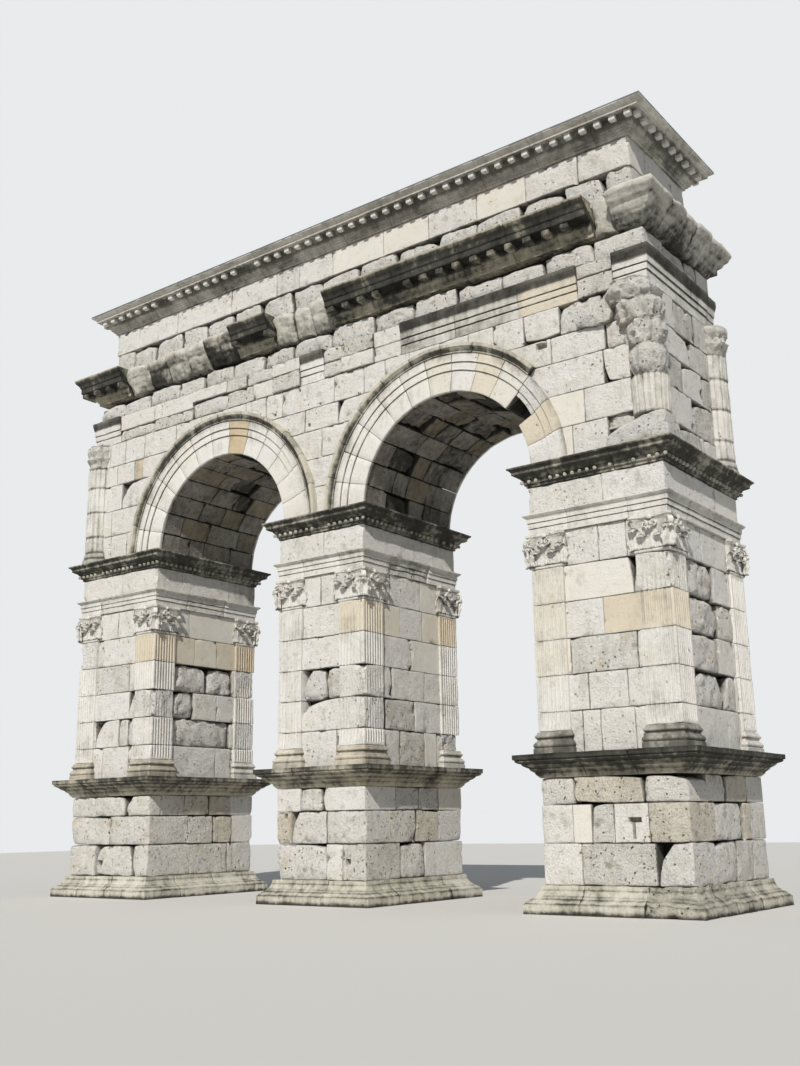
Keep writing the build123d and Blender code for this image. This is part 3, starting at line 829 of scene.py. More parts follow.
def placed_carving_tree():
    """Sets a carved shape on every point, turned and sized by the point's own attributes."""
    tree = group_with("Placed Carving", [("Shape", "NodeSocketObject", None),
                                         ("Size", "NodeSocketFloat", 1.0),
                                         ("Stone", "NodeSocketMaterial", None)])
    source = node(tree, "NodeGroupInput")
    shape = node(tree, "GeometryNodeObjectInfo", (200, -200), links={"Object": source.outputs["Shape"]})
    turn, size = [node(tree, "GeometryNodeInputNamedAttribute", (200, y), {"Name": label},
                       data_type="FLOAT_VECTOR") for label, y in (("turn", -400), ("size", -600))]
    facing = node(tree, "FunctionNodeEulerToRotation", (400, -400),
                  links={"Euler": turn.outputs["Attribute"]})
    sized = node(tree, "ShaderNodeVectorMath", (400, -600), operation="SCALE",
                 links={"Vector": size.outputs["Attribute"], "Scale": source.outputs["Size"]})
    placed = node(tree, "GeometryNodeInstanceOnPoints", (600, 0),
                  links={"Points": source.outputs["Geometry"], "Instance": shape.outputs["Geometry"],
                         "Rotation": facing.outputs["Rotation"], "Scale": sized.outputs["Vector"]})
    return end_tree(tree, source, placed)


def repeated_row_tree():
    """Repeats a shape at an even pitch along each straight run, with some of them lost."""
    tree = group_with("Repeated Row", [("Shape", "NodeSocketObject", None),
                                       ("Pitch", "NodeSocketFloat", 0.3),
                                       ("Lost Share", "NodeSocketFloat", 0.0),
                                       ("Seed", "NodeSocketInt", 1),
                                       ("Stone", "NodeSocketMaterial", None)])
    source = node(tree, "NodeGroupInput")
    shape = node(tree, "GeometryNodeObjectInfo", (0, -300), links={"Object": source.outputs["Shape"]})
    runs = node(tree, "GeometryNodeMeshToCurve", (200, 0), links={"Mesh": source.outputs["Geometry"]})
    spaced = node(tree, "GeometryNodeResampleCurve", (400, 0), mode="LENGTH",
                  links={"Curve": runs.outputs["Curve"], "Length": source.outputs["Pitch"]})
    tangent = node(tree, "GeometryNodeInputTangent", (400, -300))
    facing = node(tree, "FunctionNodeAlignRotationToVector", (600, -300), {"Factor": 1.0},
                  {"Vector": tangent.outputs["Tangent"]}, axis="X", pivot_axis="Z")
    keep = node(tree, "ShaderNodeMath", (400, -500), {0: 1.0}, operation="SUBTRACT",
                links={1: source.outputs["Lost Share"]})
    chance = node(tree, "FunctionNodeRandomValue", (600, -500), data_type="BOOLEAN",
                  links={"Probability": keep.outputs[0], "Seed": source.outputs["Seed"]})
    placed = node(tree, "GeometryNodeInstanceOnPoints", (800, 0),
                  links={"Points": spaced.outputs["Curve"], "Instance": shape.outputs["Geometry"],
                         "Rotation": facing.outputs["Rotation"], "Selection": chance.outputs[3]})
    return end_tree(tree, source, placed)


def grow(tree, seed_mesh, values):
    """Run a Geometry Nodes tree on a mesh and give back the result as a plain mesh."""
    host = bpy.data.objects.new("host", seed_mesh)
    bpy.context.scene.collection.objects.link(host)
    modifier = host.modifiers.new("made", "NODES")
    modifier.node_group = tree
    sockets = {item.name: item.identifier for item in tree.interface.items_tree
               if item.item_type == "SOCKET" and item.in_out == "INPUT"}
    for label, value in values.items():
        modifier[sockets[label]] = value
    graph = bpy.context.evaluated_depsgraph_get()
    made = bpy.data.meshes.new_from_object(host.evaluated_get(graph), depsgraph=graph)
    host.modifiers.remove(modifier)
    bpy.data.objects.remove(host)
    return made


def pattern_object(name, points, quads, rims=()):
    """A carved shape kept out of view, for Geometry Nodes to repeat."""
    made = bpy.data.meshes.new(name)
    made.from_pydata([tuple(p) for p in points], [], [tuple(q) for q in quads] + [tuple(r) for r in rims])
    made.validate()
    thing = bpy.data.objects.new(name, made)
    bpy.context.scene.collection.objects.link(thing)
    thing.hide_render = thing.hide_viewport = True
    return thing


def weather(mesh, rng, rough=0.006, tint=0.15, grime=0.3, under=0.0, smooth=45, lost=0.0):
    """Roughen repeated shapes so that no two are alike, and give them their tint and grime.

    The underside term darkens what faces down as painted shade, and lost is how much more some places are
    eaten."""
    count = len(mesh.vertices)
    points = np.zeros(count * 3, np.float32)
    mesh.vertices.foreach_get("co", points)
    points = points.reshape(-1, 3).astype(float)
    seed = int(rng.integers(1, 90000))
    eaten = 1 + lost * np.clip(lumps(points, 0.5, seed + 1), 0, 1)
    points += rough * drift(points, 0.07, seed) * eaten[:, None]
    mesh.vertices.foreach_set("co", points.astype(np.float32).ravel())
    normals = np.zeros(count * 3, np.float32)
    mesh.vertex_normals.foreach_get("vector", normals)
    down = np.clip(-normals.reshape(-1, 3)[:, 2], 0, 1)
    for label in ("turn", "size"):
        if label in mesh.attributes:
            mesh.attributes.remove(mesh.attributes[label])
    # What faces down is darkened by the underside term: painted shade
    values = {"tint": np.clip(tint + 0.05 * lumps(points, 0.4, 3), 0, 1.1),
              "grime": np.clip(grime + under * down + 0.22 * rugged(points, 0.4, 7), 0, 1),
              "relief": np.full(count, 0.4)}
    for label, value in values.items():
        layer = mesh.attributes.new(label, "FLOAT", "POINT")
        layer.data.foreach_set("value", value.astype(np.float32))
    mesh.update()
    mesh.shade_smooth()
    mesh.set_sharp_from_angle(angle=math.radians(smooth))
    return mesh


def leaf_shape():
    """One carved leaf of unit height and width, bending outwards (towards -Y) at its tip."""
    rows, cols = 11, 9
    front = np.zeros((rows, cols, 3))
    for i, s in enumerate(np.linspace(0, 1, rows)):
        bend = math.pi * 0.95 * max(0.0, (s - 0.60) / 0.40)
        z = min(s, 0.60) / 0.60 * 0.70 + 0.17 * math.sin(bend)
        y = -0.03 - 0.12 * s * s - 0.15 * (1 - math.cos(bend))
        lobe = 1 - 0.30 * abs(math.sin(3.5 * math.pi * s)) ** 0.7
        taper = 1 - 0.70 * max(0, (s - 0.70) / 0.30) ** 2
        width = (0.36 + 0.14 * math.sin(math.pi * min(1, s * 1.25))) * lobe * taper
        for j, t in enumerate(np.linspace(-1, 1, cols)):
            rib = 0.035 * (1 - abs(t)) + 0.022 * math.cos(4 * math.pi * t)
            droop = 0.07 * abs(t) * (1 if s > 0.5 else 0.3)
            front[i, j] = (t * width, y - rib + 0.05 * t * t * (1 - s), z - droop)
    back = front + np.array([0, 0.10, -0.02])
    points = np.concatenate([front.reshape(-1, 3), back.reshape(-1, 3)])
    index = np.arange(rows * cols).reshape(rows, cols)
    quads = np.stack([index[:-1, :-1], index[:-1, 1:], index[1:, 1:], index[1:, :-1]], -1).reshape(-1, 4)
    other = quads[:, ::-1] + rows * cols
    rim = np.concatenate([index[0, :-1], index[:-1, -1], index[-1, :0:-1], index[:0:-1, 0]])
    after = np.roll(rim, -1)
    edge = np.stack([rim, rim + rows * cols, after + rows * cols, after], -1)
    return points, np.concatenate([quads, other, edge])


def scroll_shape():
    """A small spiral scroll of unit size, its eye at the origin, seen along Y, curling to +X."""
    turns, segments = 1.6, 22
    rows = []
    for i in range(segments + 1):
        share = i / segments
        angle = math.pi * 0.5 - turns * 2 * math.pi * share
        radius = 0.50 * (1 - 0.80 * share)
        thick = 0.11 * (1 - 0.35 * share)
        wide = 0.30 * (1 - 0.25 * share)
        centre = np.array([radius * math.cos(angle), 0, radius * math.sin(angle)])
        out = np.array([math.cos(angle), 0, math.sin(angle)])
        side = np.array([0, 1.0, 0])
        rows.append([centre + out * thick - side * wide, centre + out * thick + side * wide,
                     centre - out * thick + side * wide, centre - out * thick - side * wide])
    return np.array(rows).reshape(-1, 3), *mirrored(*tube(len(rows), 4))


def ball_shape(rings=4, sides=8, radius=1.0):
    """A small closed boss."""
    points = [(0, 0, -1)]
    for i in range(1, rings):
        lean = -math.pi / 2 + math.pi * i / rings
        points += [(math.cos(lean) * math.cos(2 * math.pi * j / sides),
                    math.cos(lean) * math.sin(2 * math.pi * j / sides), math.sin(lean)) for j in range(sides)]
    points.append((0, 0, 1))
    faces = []
    for j in range(sides):
        k = (j + 1) % sides
        faces.append((0, 1 + k, 1 + j))
        for i in range(rings - 2):
            a, b = 1 + i * sides, 1 + (i + 1) * sides
            faces.append((a + j, a + k, b + k, b + j))
        top = 1 + (rings - 2) * sides
        faces.append((top + j, top + k, len(points) - 1))
    return np.array(points, float) * radius, faces


def bevelled_block(width, depth, height, edge=0.012):
    """A block with eased edges, its back on the plane y = 0 and its middle at the origin."""
    across = [-width / 2, -width / 2 + edge, width / 2 - edge, width / 2]
    up = [-height / 2, -height / 2 + edge, height / 2 - edge, height / 2]
    points, quads, rims = shell(np.array(across) + width / 2, np.array(up) + height / 2,
                                np.array([0, edge, depth]))
    points = soften(points, (width, height), edge)
    points = np.stack([points[:, 0] - width / 2, points[:, 2] - depth, points[:, 1] - height / 2], -1)
    return points, quads, rims


def edge_runs(name, runs):
    """A mesh of separate straight runs for the row tree to follow."""
    made = bpy.data.meshes.new(name)
    points = [p for run in runs for p in run]
    made.from_pydata(points, [(i, i + 1) for i in range(0, len(points), 2)], [])
    return made


# Materials

def empty_material(name):
    """A new material whose node tree holds nothing yet."""
    material = bpy.data.materials.new(name)
    material.use_nodes = True
    material.node_tree.nodes.clear()
    return material


def stone_material(name, colours, dirt_and_shade_colours, pit_shade_and_dirt_colour, bump=1.0, patchy=1.0):
    """Porous limestone whose colour follows the tint, the grime with its painted shade, and the relief
    painted on the stones.
    """
    if name in bpy.data.materials:
        return bpy.data.materials[name]
    material = empty_material(name)
    tree = material.node_tree
    where = node(tree, "ShaderNodeTexCoord", (-2000, 0)).outputs["Object"]
    # Rain streaks: eight to the metre across, very long down the face
    stretched = node(tree, "ShaderNodeVectorMath", (-2000, -300), {1: (8.0, 8.0, 0.9)}, {0: where},
                     operation="MULTIPLY").outputs["Vector"]
    value = {label: node(tree, "ShaderNodeAttribute", (-2000, y), attribute_name=label).outputs["Fac"]
             for label, y in (("tint", 400), ("grime", 700), ("relief", 1000))}
    # Stains of half a metre and of a foot, blotches of a hand's width, dents, grain of a centimetre
    for label, source, scale, detail, fine in (
            ("broad", where, 1.6, 4.0, 0.6), ("patch", where, 3.3, 5.0, 0.65),
                                               ("blotch", where, 9.0, 5.0, 0.65),
            ("dents", where, 26.0, 4.0, 0.65), ("grain", where, 70.0, 4.0, 0.7),
            ("streak", stretched, 1.0, 3.0, 0.5)):
        value[label] = node(tree, "ShaderNodeTexNoise", (-1700, 1000 - 200 * len(value)),
                            {"Scale": scale, "Detail": detail, "Roughness": fine},
                            {"Vector": source}).outputs["Fac"]
    # Open pores a centimetre across and holes of three to four
    for label, scale in (("pores", 34.0), ("holes", 9.0)):
        value[label] = node(tree, "ShaderNodeTexVoronoi", (-1700, 1000 - 200 * len(value)), {"Scale": scale},
                            {"Vector": where}).outputs["Distance"]
    # Each value is one of the others plus a share of a second one
    for label, first, share, second in (
            ("hue", "tint", 0.26, "blotch"), ("hue", "hue", 0.24, "broad"),
            ("dirt_and_shade", "grime", 0.55 * patchy, "broad"), ("dirt_and_shade", "dirt_and_shade", 0.45 * patchy, "blotch"),
            ("dirt_and_shade", "dirt_and_shade", 0.40 * patchy, "streak"), ("pore_place", "dents", 0.24, "relief"),
            ("hole_place", "patch", 0.30, "relief"), ("pore", "pores", 0.30, "grain"),
            ("hole", "holes", 0.50, "dents"), ("hollows", "blotch", 0.85, "dents")):
        value[label] = node(tree, "ShaderNodeMath", (-1400, 1400 - 100 * len(value)), {1: share},
                            {0: value[second], 2: value[first]}, operation="MULTIPLY_ADD").outputs[0]
    # Each value becomes a clamped share from 0 to 1 between two limits
    clean = 0.07 + 0.70 * patchy
    for label, source, start, end in (
            ("hue", "hue", 0.25, 1.25), ("dirt_and_shade", "dirt_and_shade", clean, clean + 1), ("cover", "dirt_and_shade", 0.02, 0.55),
            ("mottling", "relief", -0.15, 1.0), ("pore_place", "pore_place", 0.58, 0.70),
            ("hole_place", "hole_place", 0.70, 0.84), ("pore", "pore", 0.38, 0.22),
                                      ("hole", "hole", 0.43, 0.33)):
        value[label] = node(tree, "ShaderNodeMapRange", (-1100, 1600 - 100 * len(value)),
                            {"From Min": start, "From Max": end}, {"Value": value[source]}).outputs["Result"]
    # Pores and holes where their places allow them
    for label, first, second, operation in (
            ("pore", "pore", "pore_place", "MULTIPLY"), ("hole", "hole", "hole_place", "MULTIPLY"),
            ("deep", "pore", "hole", "MAXIMUM")):
        value[label] = node(tree, "ShaderNodeMath", (-900, 1000 - 100 * len(value)), {},
                            {0: value[first], 1: value[second]}, operation=operation).outputs[0]
    clean_colour = node(tree, "ShaderNodeValToRGB", (-900, 400), links={"Fac": value["hue"]}, stops=colours)
    # Where the grime value is high the dirt ramp covers the stone: dirt and crust, and painted shade where
    # that value carries it
    dirt_and_shade_colour = node(tree, "ShaderNodeValToRGB", (-600, 700), links={"Fac": value["dirt_and_shade"]},
                       stops=dirt_and_shade_colours)
    shade = node(tree, "ShaderNodeMix", (-300, 500), {},
                 {"Factor": value["cover"], 6: clean_colour.outputs["Color"],
                  7: dirt_and_shade_colour.outputs["Color"]},
                 data_type="RGBA").outputs[2]
    # Old faces are mottled: grey where lichen holds, warm where iron has washed out
    for column, (label, stops) in enumerate((
            ("patch", [(0.30, "#CBC7BD"), (0.41, "#FFFFFF"), (0.58, "#FFFFFF"), (0.76, "#EEDFC3")]),
            ("blotch", [(0.27, "#B3AEA2"), (0.42, "#FFFFFF")]),
            ("grain", [(0.30, "#958F83"), (0.44, "#FFFFFF")]))):
        tone = node(tree, "ShaderNodeValToRGB", (-600, 300 - 220 * column), links={"Fac": value[label]},
                    stops=stops)
        shade = node(tree, "ShaderNodeMix", (-100 + 180 * column, 400), {},
                     {"Factor": value["mottling"], 6: shade, 7: tone.outputs["Color"]},
                     data_type="RGBA", blend_type="MULTIPLY").outputs[2]
    # Pores and holes take the dark pit colour: painted shade in them, with dirt
    pitted = node(tree, "ShaderNodeMix", (500, 300), {7: linear(pit_shade_and_dirt_colour)},
                  {"Factor": value["deep"], 6: shade}, data_type="RGBA").outputs[2]
    # Relief: hollows of ten centimetres and dents of four, then grain, pores and holes
    fine_height = value["grain"]
    for column, (label, depth) in enumerate((("pore", -1.6), ("hole", -3.0))):
        fine_height = node(tree, "ShaderNodeMath", (-500 + 150 * column, -1300), {1: depth},
                           {0: value[label], 2: fine_height}, operation="MULTIPLY_ADD").outputs[0]
    strength = node(tree, "ShaderNodeMath", (-600, -700), {1: bump}, {0: value["relief"]},
                    operation="MULTIPLY", use_clamp=True).outputs[0]
    coarse = node(tree, "ShaderNodeBump", (-100, -900), {"Distance": 0.065},
                  {"Height": value["hollows"], "Strength": strength})
    raised = node(tree, "ShaderNodeBump", (100, -700), {"Distance": 0.018, "Strength": bump},
                  {"Height": fine_height, "Normal": coarse.outputs["Normal"]})
    surface = node(tree, "ShaderNodeBsdfPrincipled", (700, 200), {"Roughness": 0.92,
                                                                  "Specular IOR Level": 0.25},
                   {"Base Color": pitted, "Normal": raised.outputs["Normal"]})
    node(tree, "ShaderNodeOutputMaterial", (1000, 200), links={"Surface": surface.outputs["BSDF"]})
    return material


def pale_stone():
    """Sun-bleached shelly limestone: white, cream and ochre blocks."""
    return stone_material("shelly_limestone_sun_bleached",
                          [(0.0, "#E9E7E2"), (0.30, "#E6E2D7"), (0.50, "#E2DAC8"), (0.72, "#DACDB6"),
                           (1.0, "#CCB48D")],
                          [(0.0, "#B3B0A6"), (0.5, "#7C7A71"), (1.0, "#3B3A34")], "#8A857A", 0.95, 1.15)


def crusted_stone():
    """The same limestone under a black crust, on cornices and bases."""
    return stone_material("limestone_with_black_crust",
                          [(0.0, "#DFDCD2"), (0.30, "#D3CEBB"), (0.60, "#B9B096"), (1.0, "#9C8E68")],
                          [(0.0, "#959387"), (0.45, "#57564E"), (1.0, "#22221F")], "#3E3C36", 1.0, 1.5)


def vault_stone():
    """Grey-brown limestone of the barrels, never bleached by the sun."""
    return stone_material("vault_limestone_grey_brown",
                          [(0.0, "#C6C3BB"), (0.4, "#B4AFA3"), (0.8, "#A69A80"), (1.0, "#98835F")],
                          [(0.0, "#8A877E"), (0.5, "#5C5A53"), (1.0, "#2C2B27")], "#45433D", 1.0, 1.3)


def core_mortar():
    """Dark earth and mortar deep in the joints, its darkness also painted shade in the gaps."""
    return stone_material("core_mortar_dark",
                          [(0.0, "#453F35"), (1.0, "#3A342B")],
                          [(0.0, "#39342C"), (1.0, "#1E1B17")], "#1E1B17")


def lead_sheet():
    """Weathered lead: dull grey, a little lighter where rain has washed it."""
    name = "lead_sheet_weathered"
    if name in bpy.data.materials:
        return bpy.data.materials[name]
    material = empty_material(name)
    tree = material.node_tree
    where = node(tree, "ShaderNodeTexCoord", (-800, 0)).outputs["Object"]
    cloud = node(tree, "ShaderNodeTexNoise", (-600, 0), {"Scale": 2.2, "Detail": 5.0}, {"Vector": where})
    colour = node(tree, "ShaderNodeValToRGB", (-400, 0), links={"Fac": cloud.outputs["Fac"]},
                  stops=[(0.30, "#595B5C"), (0.72, "#6E7072")])
    surface = node(tree, "ShaderNodeBsdfPrincipled", (0, 0), {"Roughness": 0.62, "Metallic": 0.5},
                   {"Base Color": colour.outputs["Color"]})
    node(tree, "ShaderNodeOutputMaterial", (300, 0), links={"Surface": surface.outputs["BSDF"]})
    return material


# Profiles and tables

# Shares of projection and height, from bottom to top, as in the CAD solids. Shades are heights in metres
# and extra darkening: painted shade in grooves, under projections and at the ground, with dirt
BASE_PROFILE = [(1, 0), (1, 0.36), (0.93, 0.37), (0.91, 0.43), (0.80, 0.46), (0.77, 0.50), (0.68, 0.52),
                (0.56, 0.58), (0.54, 0.62), (0.46, 0.66), (0.37, 0.76), (0.35, 0.83), (0.32, 0.84), (0.3, 1)]
BASE_SHADE = [(0.0, 0.65), (0.05, 0.30), (0.09, 0.0), (0.15, 0.0), (0.175, 0.32), (0.20, 0.0), (0.225, 0.0),
              (0.245, 0.30), (0.27, 0.0), (0.29, 0.22), (0.31, 0.0), (0.37, 0.0), (0.395, 0.30), (0.42, 0.0)]
PEDESTAL_PROFILE = [(0.12, 0), (0.17, 0.06), (0.24, 0.13), (0.28, 0.18), (0.27, 0.22), (0.38, 0.29),
                    (0.46, 0.36), (0.45, 0.40), (0.58, 0.46), (0.7, 0.54), (0.69, 0.58), (0.84, 0.64),
                    (0.93, 0.7), (0.91, 0.76), (1, 0.79), (1, 1)]
PEDESTAL_SHADE = [(0.0, -0.20), (0.06, -0.06), (0.085, 0.16), (0.11, -0.04), (0.15, 0.0), (0.165, 0.20),
                  (0.19, 0.0), (0.225, 0.04), (0.24, 0.24), (0.265, 0.06), (0.30, 0.20), (0.40, 0.46)]
ATTIC_BASE_PROFILE = [(1, 0), (1, 0.26), (0.70, 0.28), (0.88, 0.32), (1.02, 0.40), (0.88, 0.48), (0.66, 0.51),
                      (0.66, 0.54), (0.30, 0.57), (0.16, 0.64), (0.34, 0.71), (0.56, 0.73), (0.68, 0.79),
                      (0.58, 0.85), (0.30, 0.88), (0.30, 0.92), (0.12, 1)]
BELL_OUTLINE = [(0.0, 0.0), (0.018, 0.008), (0.022, 0.022), (0.018, 0.036), (0.0, 0.044), (0.0, 0.10),
                (0.004, 0.30), (0.022, 0.44), (0.050, 0.55)]
ARCHITRAVE_PROFILE = [(0.34, 0), (0.34, 0.32), (0.46, 0.32), (0.46, 0.58), (0.58, 0.58), (0.58, 0.8),
                      (0.62, 0.83), (0.72, 0.84), (0.86, 0.88), (0.92, 0.92), (1, 0.94), (1, 1)]
IMPOST_PROFILE = [(0.13, 0), (0.2, 0), (0.2, 0.12), (0.3, 0.16), (0.3, 0.36), (0.42, 0.4), (0.44, 0.45),
                  (0.5, 0.52), (0.66, 0.57), (0.8, 0.64), (0.8, 0.78), (0.84, 0.80), (0.88, 0.86), (1, 0.92),
                  (1, 1)]
GREAT_ARCHITRAVE_PROFILE = [(0, 0), (0, 0.29), (0.25, 0.29), (0.25, 0.49), (0.5, 0.49), (0.5, 0.69),
                            (0.62, 0.72), (0.74, 0.77), (0.9, 0.86), (1, 0.9), (1, 1)]
CORNICE_PROFILE = [(0, 0), (0.05, 0), (0.05, 0.1), (0.12, 0.13), (0.2, 0.2), (0.24, 0.3), (0.24, 0.42),
                   (0.74, 0.46), (0.74, 0.66), (0.78, 0.67), (0.80, 0.72), (0.86, 0.8), (0.95, 0.86),
                   (0.98, 0.92), (1, 0.93), (1, 1)]
ATTIC_CORNICE_PROFILE = [(0, 0), (0.08, 0), (0.08, 0.1), (0.17, 0.12), (0.17, 0.2), (0.26, 0.22), (0.26, 0.3),
                         (0.33, 0.33), (0.38, 0.38), (0.46, 0.42), (0.46, 0.7), (0.8, 0.72), (0.8, 0.86),
                         (0.86, 0.88), (0.93, 0.91), (1, 0.97), (1, 1)]


def scaled(profile, reach, height):
    """A profile in metres. A third value, extra grime, stays as it is."""
    return [(far * reach, up * height, *more) for far, up, *more in profile]


# Courses of the pedestals. Front stones run from left to right with their joints in X; the first and
# last turn the corner. Then come the joints and stones of the right-hand face in Y
DADO_LEVELS = [BASE_TOP, 1.18, 1.83, DADO_TOP]
DADO_STONES = {
    "left": [(["worn", -7.07, "worn", -5.73, "worn"], [-0.40, "pitted", 0.85, "pitted", 1.02],
              dict(holes=[(-7.05, -6.80, 0.70, 0.84)],
                   pulls={1: {LOW_LEFT: (0.10, 0.05), TOP_RIGHT: (-0.10, -0.03), TOP_LEFT: (0.25, -0.04)},
                          2: {LOW_LEFT: (0.05, 0), TOP_LEFT: (0.06, -0.02)}})),
             (["worn", -6.57, "worn"], [-0.49, "pitted", 0.35, "stained", 1.0],
              dict(pulls={0: {LOW_LEFT: (0.06, 0.02), TOP_RIGHT: (-0.05, -0.03)}})),
             (["worn", -7.14, "worn", -6.0, "worn"], [-0.61, "stained", 0.20, "stained", 0.93],
              dict(pulls={1: {LOW_RIGHT: (-0.05, 0.0), TOP_RIGHT: (-0.12, -0.05)},
                          2: {TOP_LEFT: (0.16, -0.03)}}))],
    "middle": [(["worn", 0.19, "white", 0.60, "pitted"], [-0.58, "worn", 0.32],
                dict(holes=[(0.68, 0.80, 0.78, 0.90)], pulls={0: {LOW_LEFT: (0.04, 0),
                                                                  TOP_RIGHT: (-0.10, -0.04)}})),
               (["stained", -0.79, "worn", 0.17, "worn"], [-0.88, "pitted", 0.0, "stained", 0.84],
                dict(holes=[(-0.96, -0.86, 1.70, 1.80)], pulls={1: {TOP_LEFT: (0.2, -0.02)}})),
               (["white", -0.53, "worn", 0.07, "white"], [-0.70, "pitted", 0.10, "pitted", 0.85],
                dict(pulls={2: {LOW_LEFT: (0.08, 0.0), TOP_LEFT: (0.04, 0)}}))],
    "right": [(["white", 5.95, "pitted", 7.34, "worn"], [-0.77, "worn", 0.23, "pitted", 1.0],
               dict(pulls={2: {TOP_LEFT: (0.30, -0.02)}})),
              (["white", 5.82, "cream", 6.18, "pitted", 6.61, "white", 7.25, "stained"],
               [-0.65, "worn", 0.63, "stained", 1.0],
               dict(holes=[(6.87, 7.12, 1.51, 1.60), (6.94, 7.00, 1.24, 1.52)],
                    pulls={2: {TOP_LEFT: (0.05, -0.04)}})),
              (["worn", 5.85, "stained", 7.18, "worn"], [-0.90, "worn", -0.08, "stained", 0.91],
               dict(pulls={1: {LOW_LEFT: (0.05, 0.05), TOP_RIGHT: (-0.04, -0.05)},
                           2: {TOP_RIGHT: (-0.05, -0.10), TOP_LEFT: (0.04, -0.03)}}))],
}

# Courses between the pilasters: joints and stones of the front in X and of the right-hand face in Y
WALL_LEVELS = [PEDESTAL_TOP, 3.45, 4.10, 4.75, 5.42, SHAFT_TOP, CAPITAL_TOP]
WALL_STONES = {
    "left": [([-7.42, "white", -6.98, "white", -6.05, "white", -5.76],
              [-1.14, "white", 0.42, "white", 0.95, "worn", 1.14]),
             ([-7.42, "white", -7.26, "white", -6.43, "worn", -6.10, "worn", -5.76],
              [-1.14, "worn", -0.98, "boulder", 0.90, "worn", 1.14]),
             ([-7.42, "white", -6.08, "white", -5.76],
              [-1.14, "worn", -1.03, "boulder", -0.34, "white", 0.42, "white", 1.14]),
             ([-7.42, "grey", -6.12, "white", -5.76],
              [-1.14, "white", -1.04, "boulder", 0.07, "boulder", 0.95, "white", 1.14]),
             ([-7.42, "worn", -7.14, "white", -5.93, "ochre", -5.76],
              [-1.14, "ochre", -1.01, "ochre", -0.36, "beige", 0.38, "ochre", 1.14]),
             ([-7.42, "white", -7.30, "white", -6.61, "white", -6.03, "white", -5.76],
              [-1.14, "white", -0.56, "cream", 1.14])],
    "middle": [([-0.625, "white", -0.57, "white", 0.41, "white", 0.625],
                [-1.14, "white", -0.46, "pitted", 0.44, "cream", 0.87, "worn", 1.14]),
               ([-0.625, "white", 0.625], [-1.14, "worn", -0.94, "pitted", 0.10, "white", 1.14]),
               ([-0.625, "boulder", 0.11, "boulder", 0.625],
                [-1.14, "white", -0.98, "white", -0.68, "white", 0.46, "white", 1.14]),
               ([-0.625, "white", -0.57, "white", 0.625],
                [-1.14, "white", -1.0, "white", 0.0, "cream", 1.14]),
               ([-0.625, "white", -0.52, "white", 0.53, "ochre", 0.625],
                [-1.14, "beige", -0.98, "beige", -0.39, "white", 0.42, "beige", 1.14]),
               ([-0.625, "white", -0.48, "white", -0.02, "white", 0.35, "white", 0.625],
                [-1.14, "white", -0.73, "white", 0.36, "cream", 1.14])],
    "right": [([5.76, "white", 6.09, "white", 6.44, "white", 7.10, "white", 7.42],
               [-1.14, "white", -0.93, "white", 0.39, "white", 0.94, "white", 1.14]),
              ([5.76, "white", 6.24, "white", 7.00, "white", 7.42],
               [-1.14, "white", -0.92, "boulder", 0.40, "worn", 0.95, "white", 1.14]),
              ([5.76, "cream", 5.92, "grey", 7.23, "white", 7.42],
               [-1.14, "white", -1.01, "worn", 0.22, "white", 0.95, "white", 1.14]),
              ([5.76, "beige", 5.85, "white", 6.62, "ochre", 7.42],
               [-1.14, "white", -0.94, "boulder", 0.36, "worn", 1.14]),
              ([5.76, "cream", 5.86, "cream", 7.23, "worn", 7.42],
               [-1.14, "worn", -0.85, "boulder", 0.25, "white", 0.95, "white", 1.14]),
              ([5.76, "white", 5.92, "white", 6.59, "white", 7.14, "white", 7.42],
               [-1.14, "white", -0.20, "white", 1.14])],
}
WALL_PULLS = {
    ("left", 1, "front"): {0: {TOP_RIGHT: (-0.05, -0.05)}, 1: {TOP_LEFT: (0.30, -0.05)}},
    ("left", 2, "front"): {1: {TOP_LEFT: (0.26, -0.04)}},
    ("left", 3, "right"): {1: {TOP_RIGHT: (-0.12, -0.07), TOP_LEFT: (0.10, -0.04)},
                           2: {TOP_RIGHT: (0, -0.05), TOP_LEFT: (0.12, -0.06)}},
    ("middle", 2, "front"): {0: {LOW_LEFT: (0.12, 0), TOP_RIGHT: (-0.03, -0.02), TOP_LEFT: (0.30, -0.04)},
                             1: {TOP_RIGHT: (-0.06, -0.05), TOP_LEFT: (0.04, -0.03)}},
    ("middle", 1, "front"): {0: {LOW_LEFT: (0.10, 0), TOP_LEFT: (0.22, -0.16)}},
    ("middle", 2, "right"): {1: {LOW_RIGHT: (-0.05, 0), TOP_RIGHT: (-0.10, 0)}},
    ("right", 1, "right"): {1: {TOP_RIGHT: (-0.16, -0.07), TOP_LEFT: (0.24, -0.08)},
                            2: {TOP_RIGHT: (-0.05, 0), TOP_LEFT: (0.16, -0.06)}},
    ("right", 2, "right"): {1: {TOP_RIGHT: (-0.08, -0.05), TOP_LEFT: (0.06, -0.05)}},
    ("right", 4, "front"): {1: {TOP_RIGHT: (-0.08, -0.02)},
                            2: {TOP_LEFT: (0.15, -0.14)}},
}

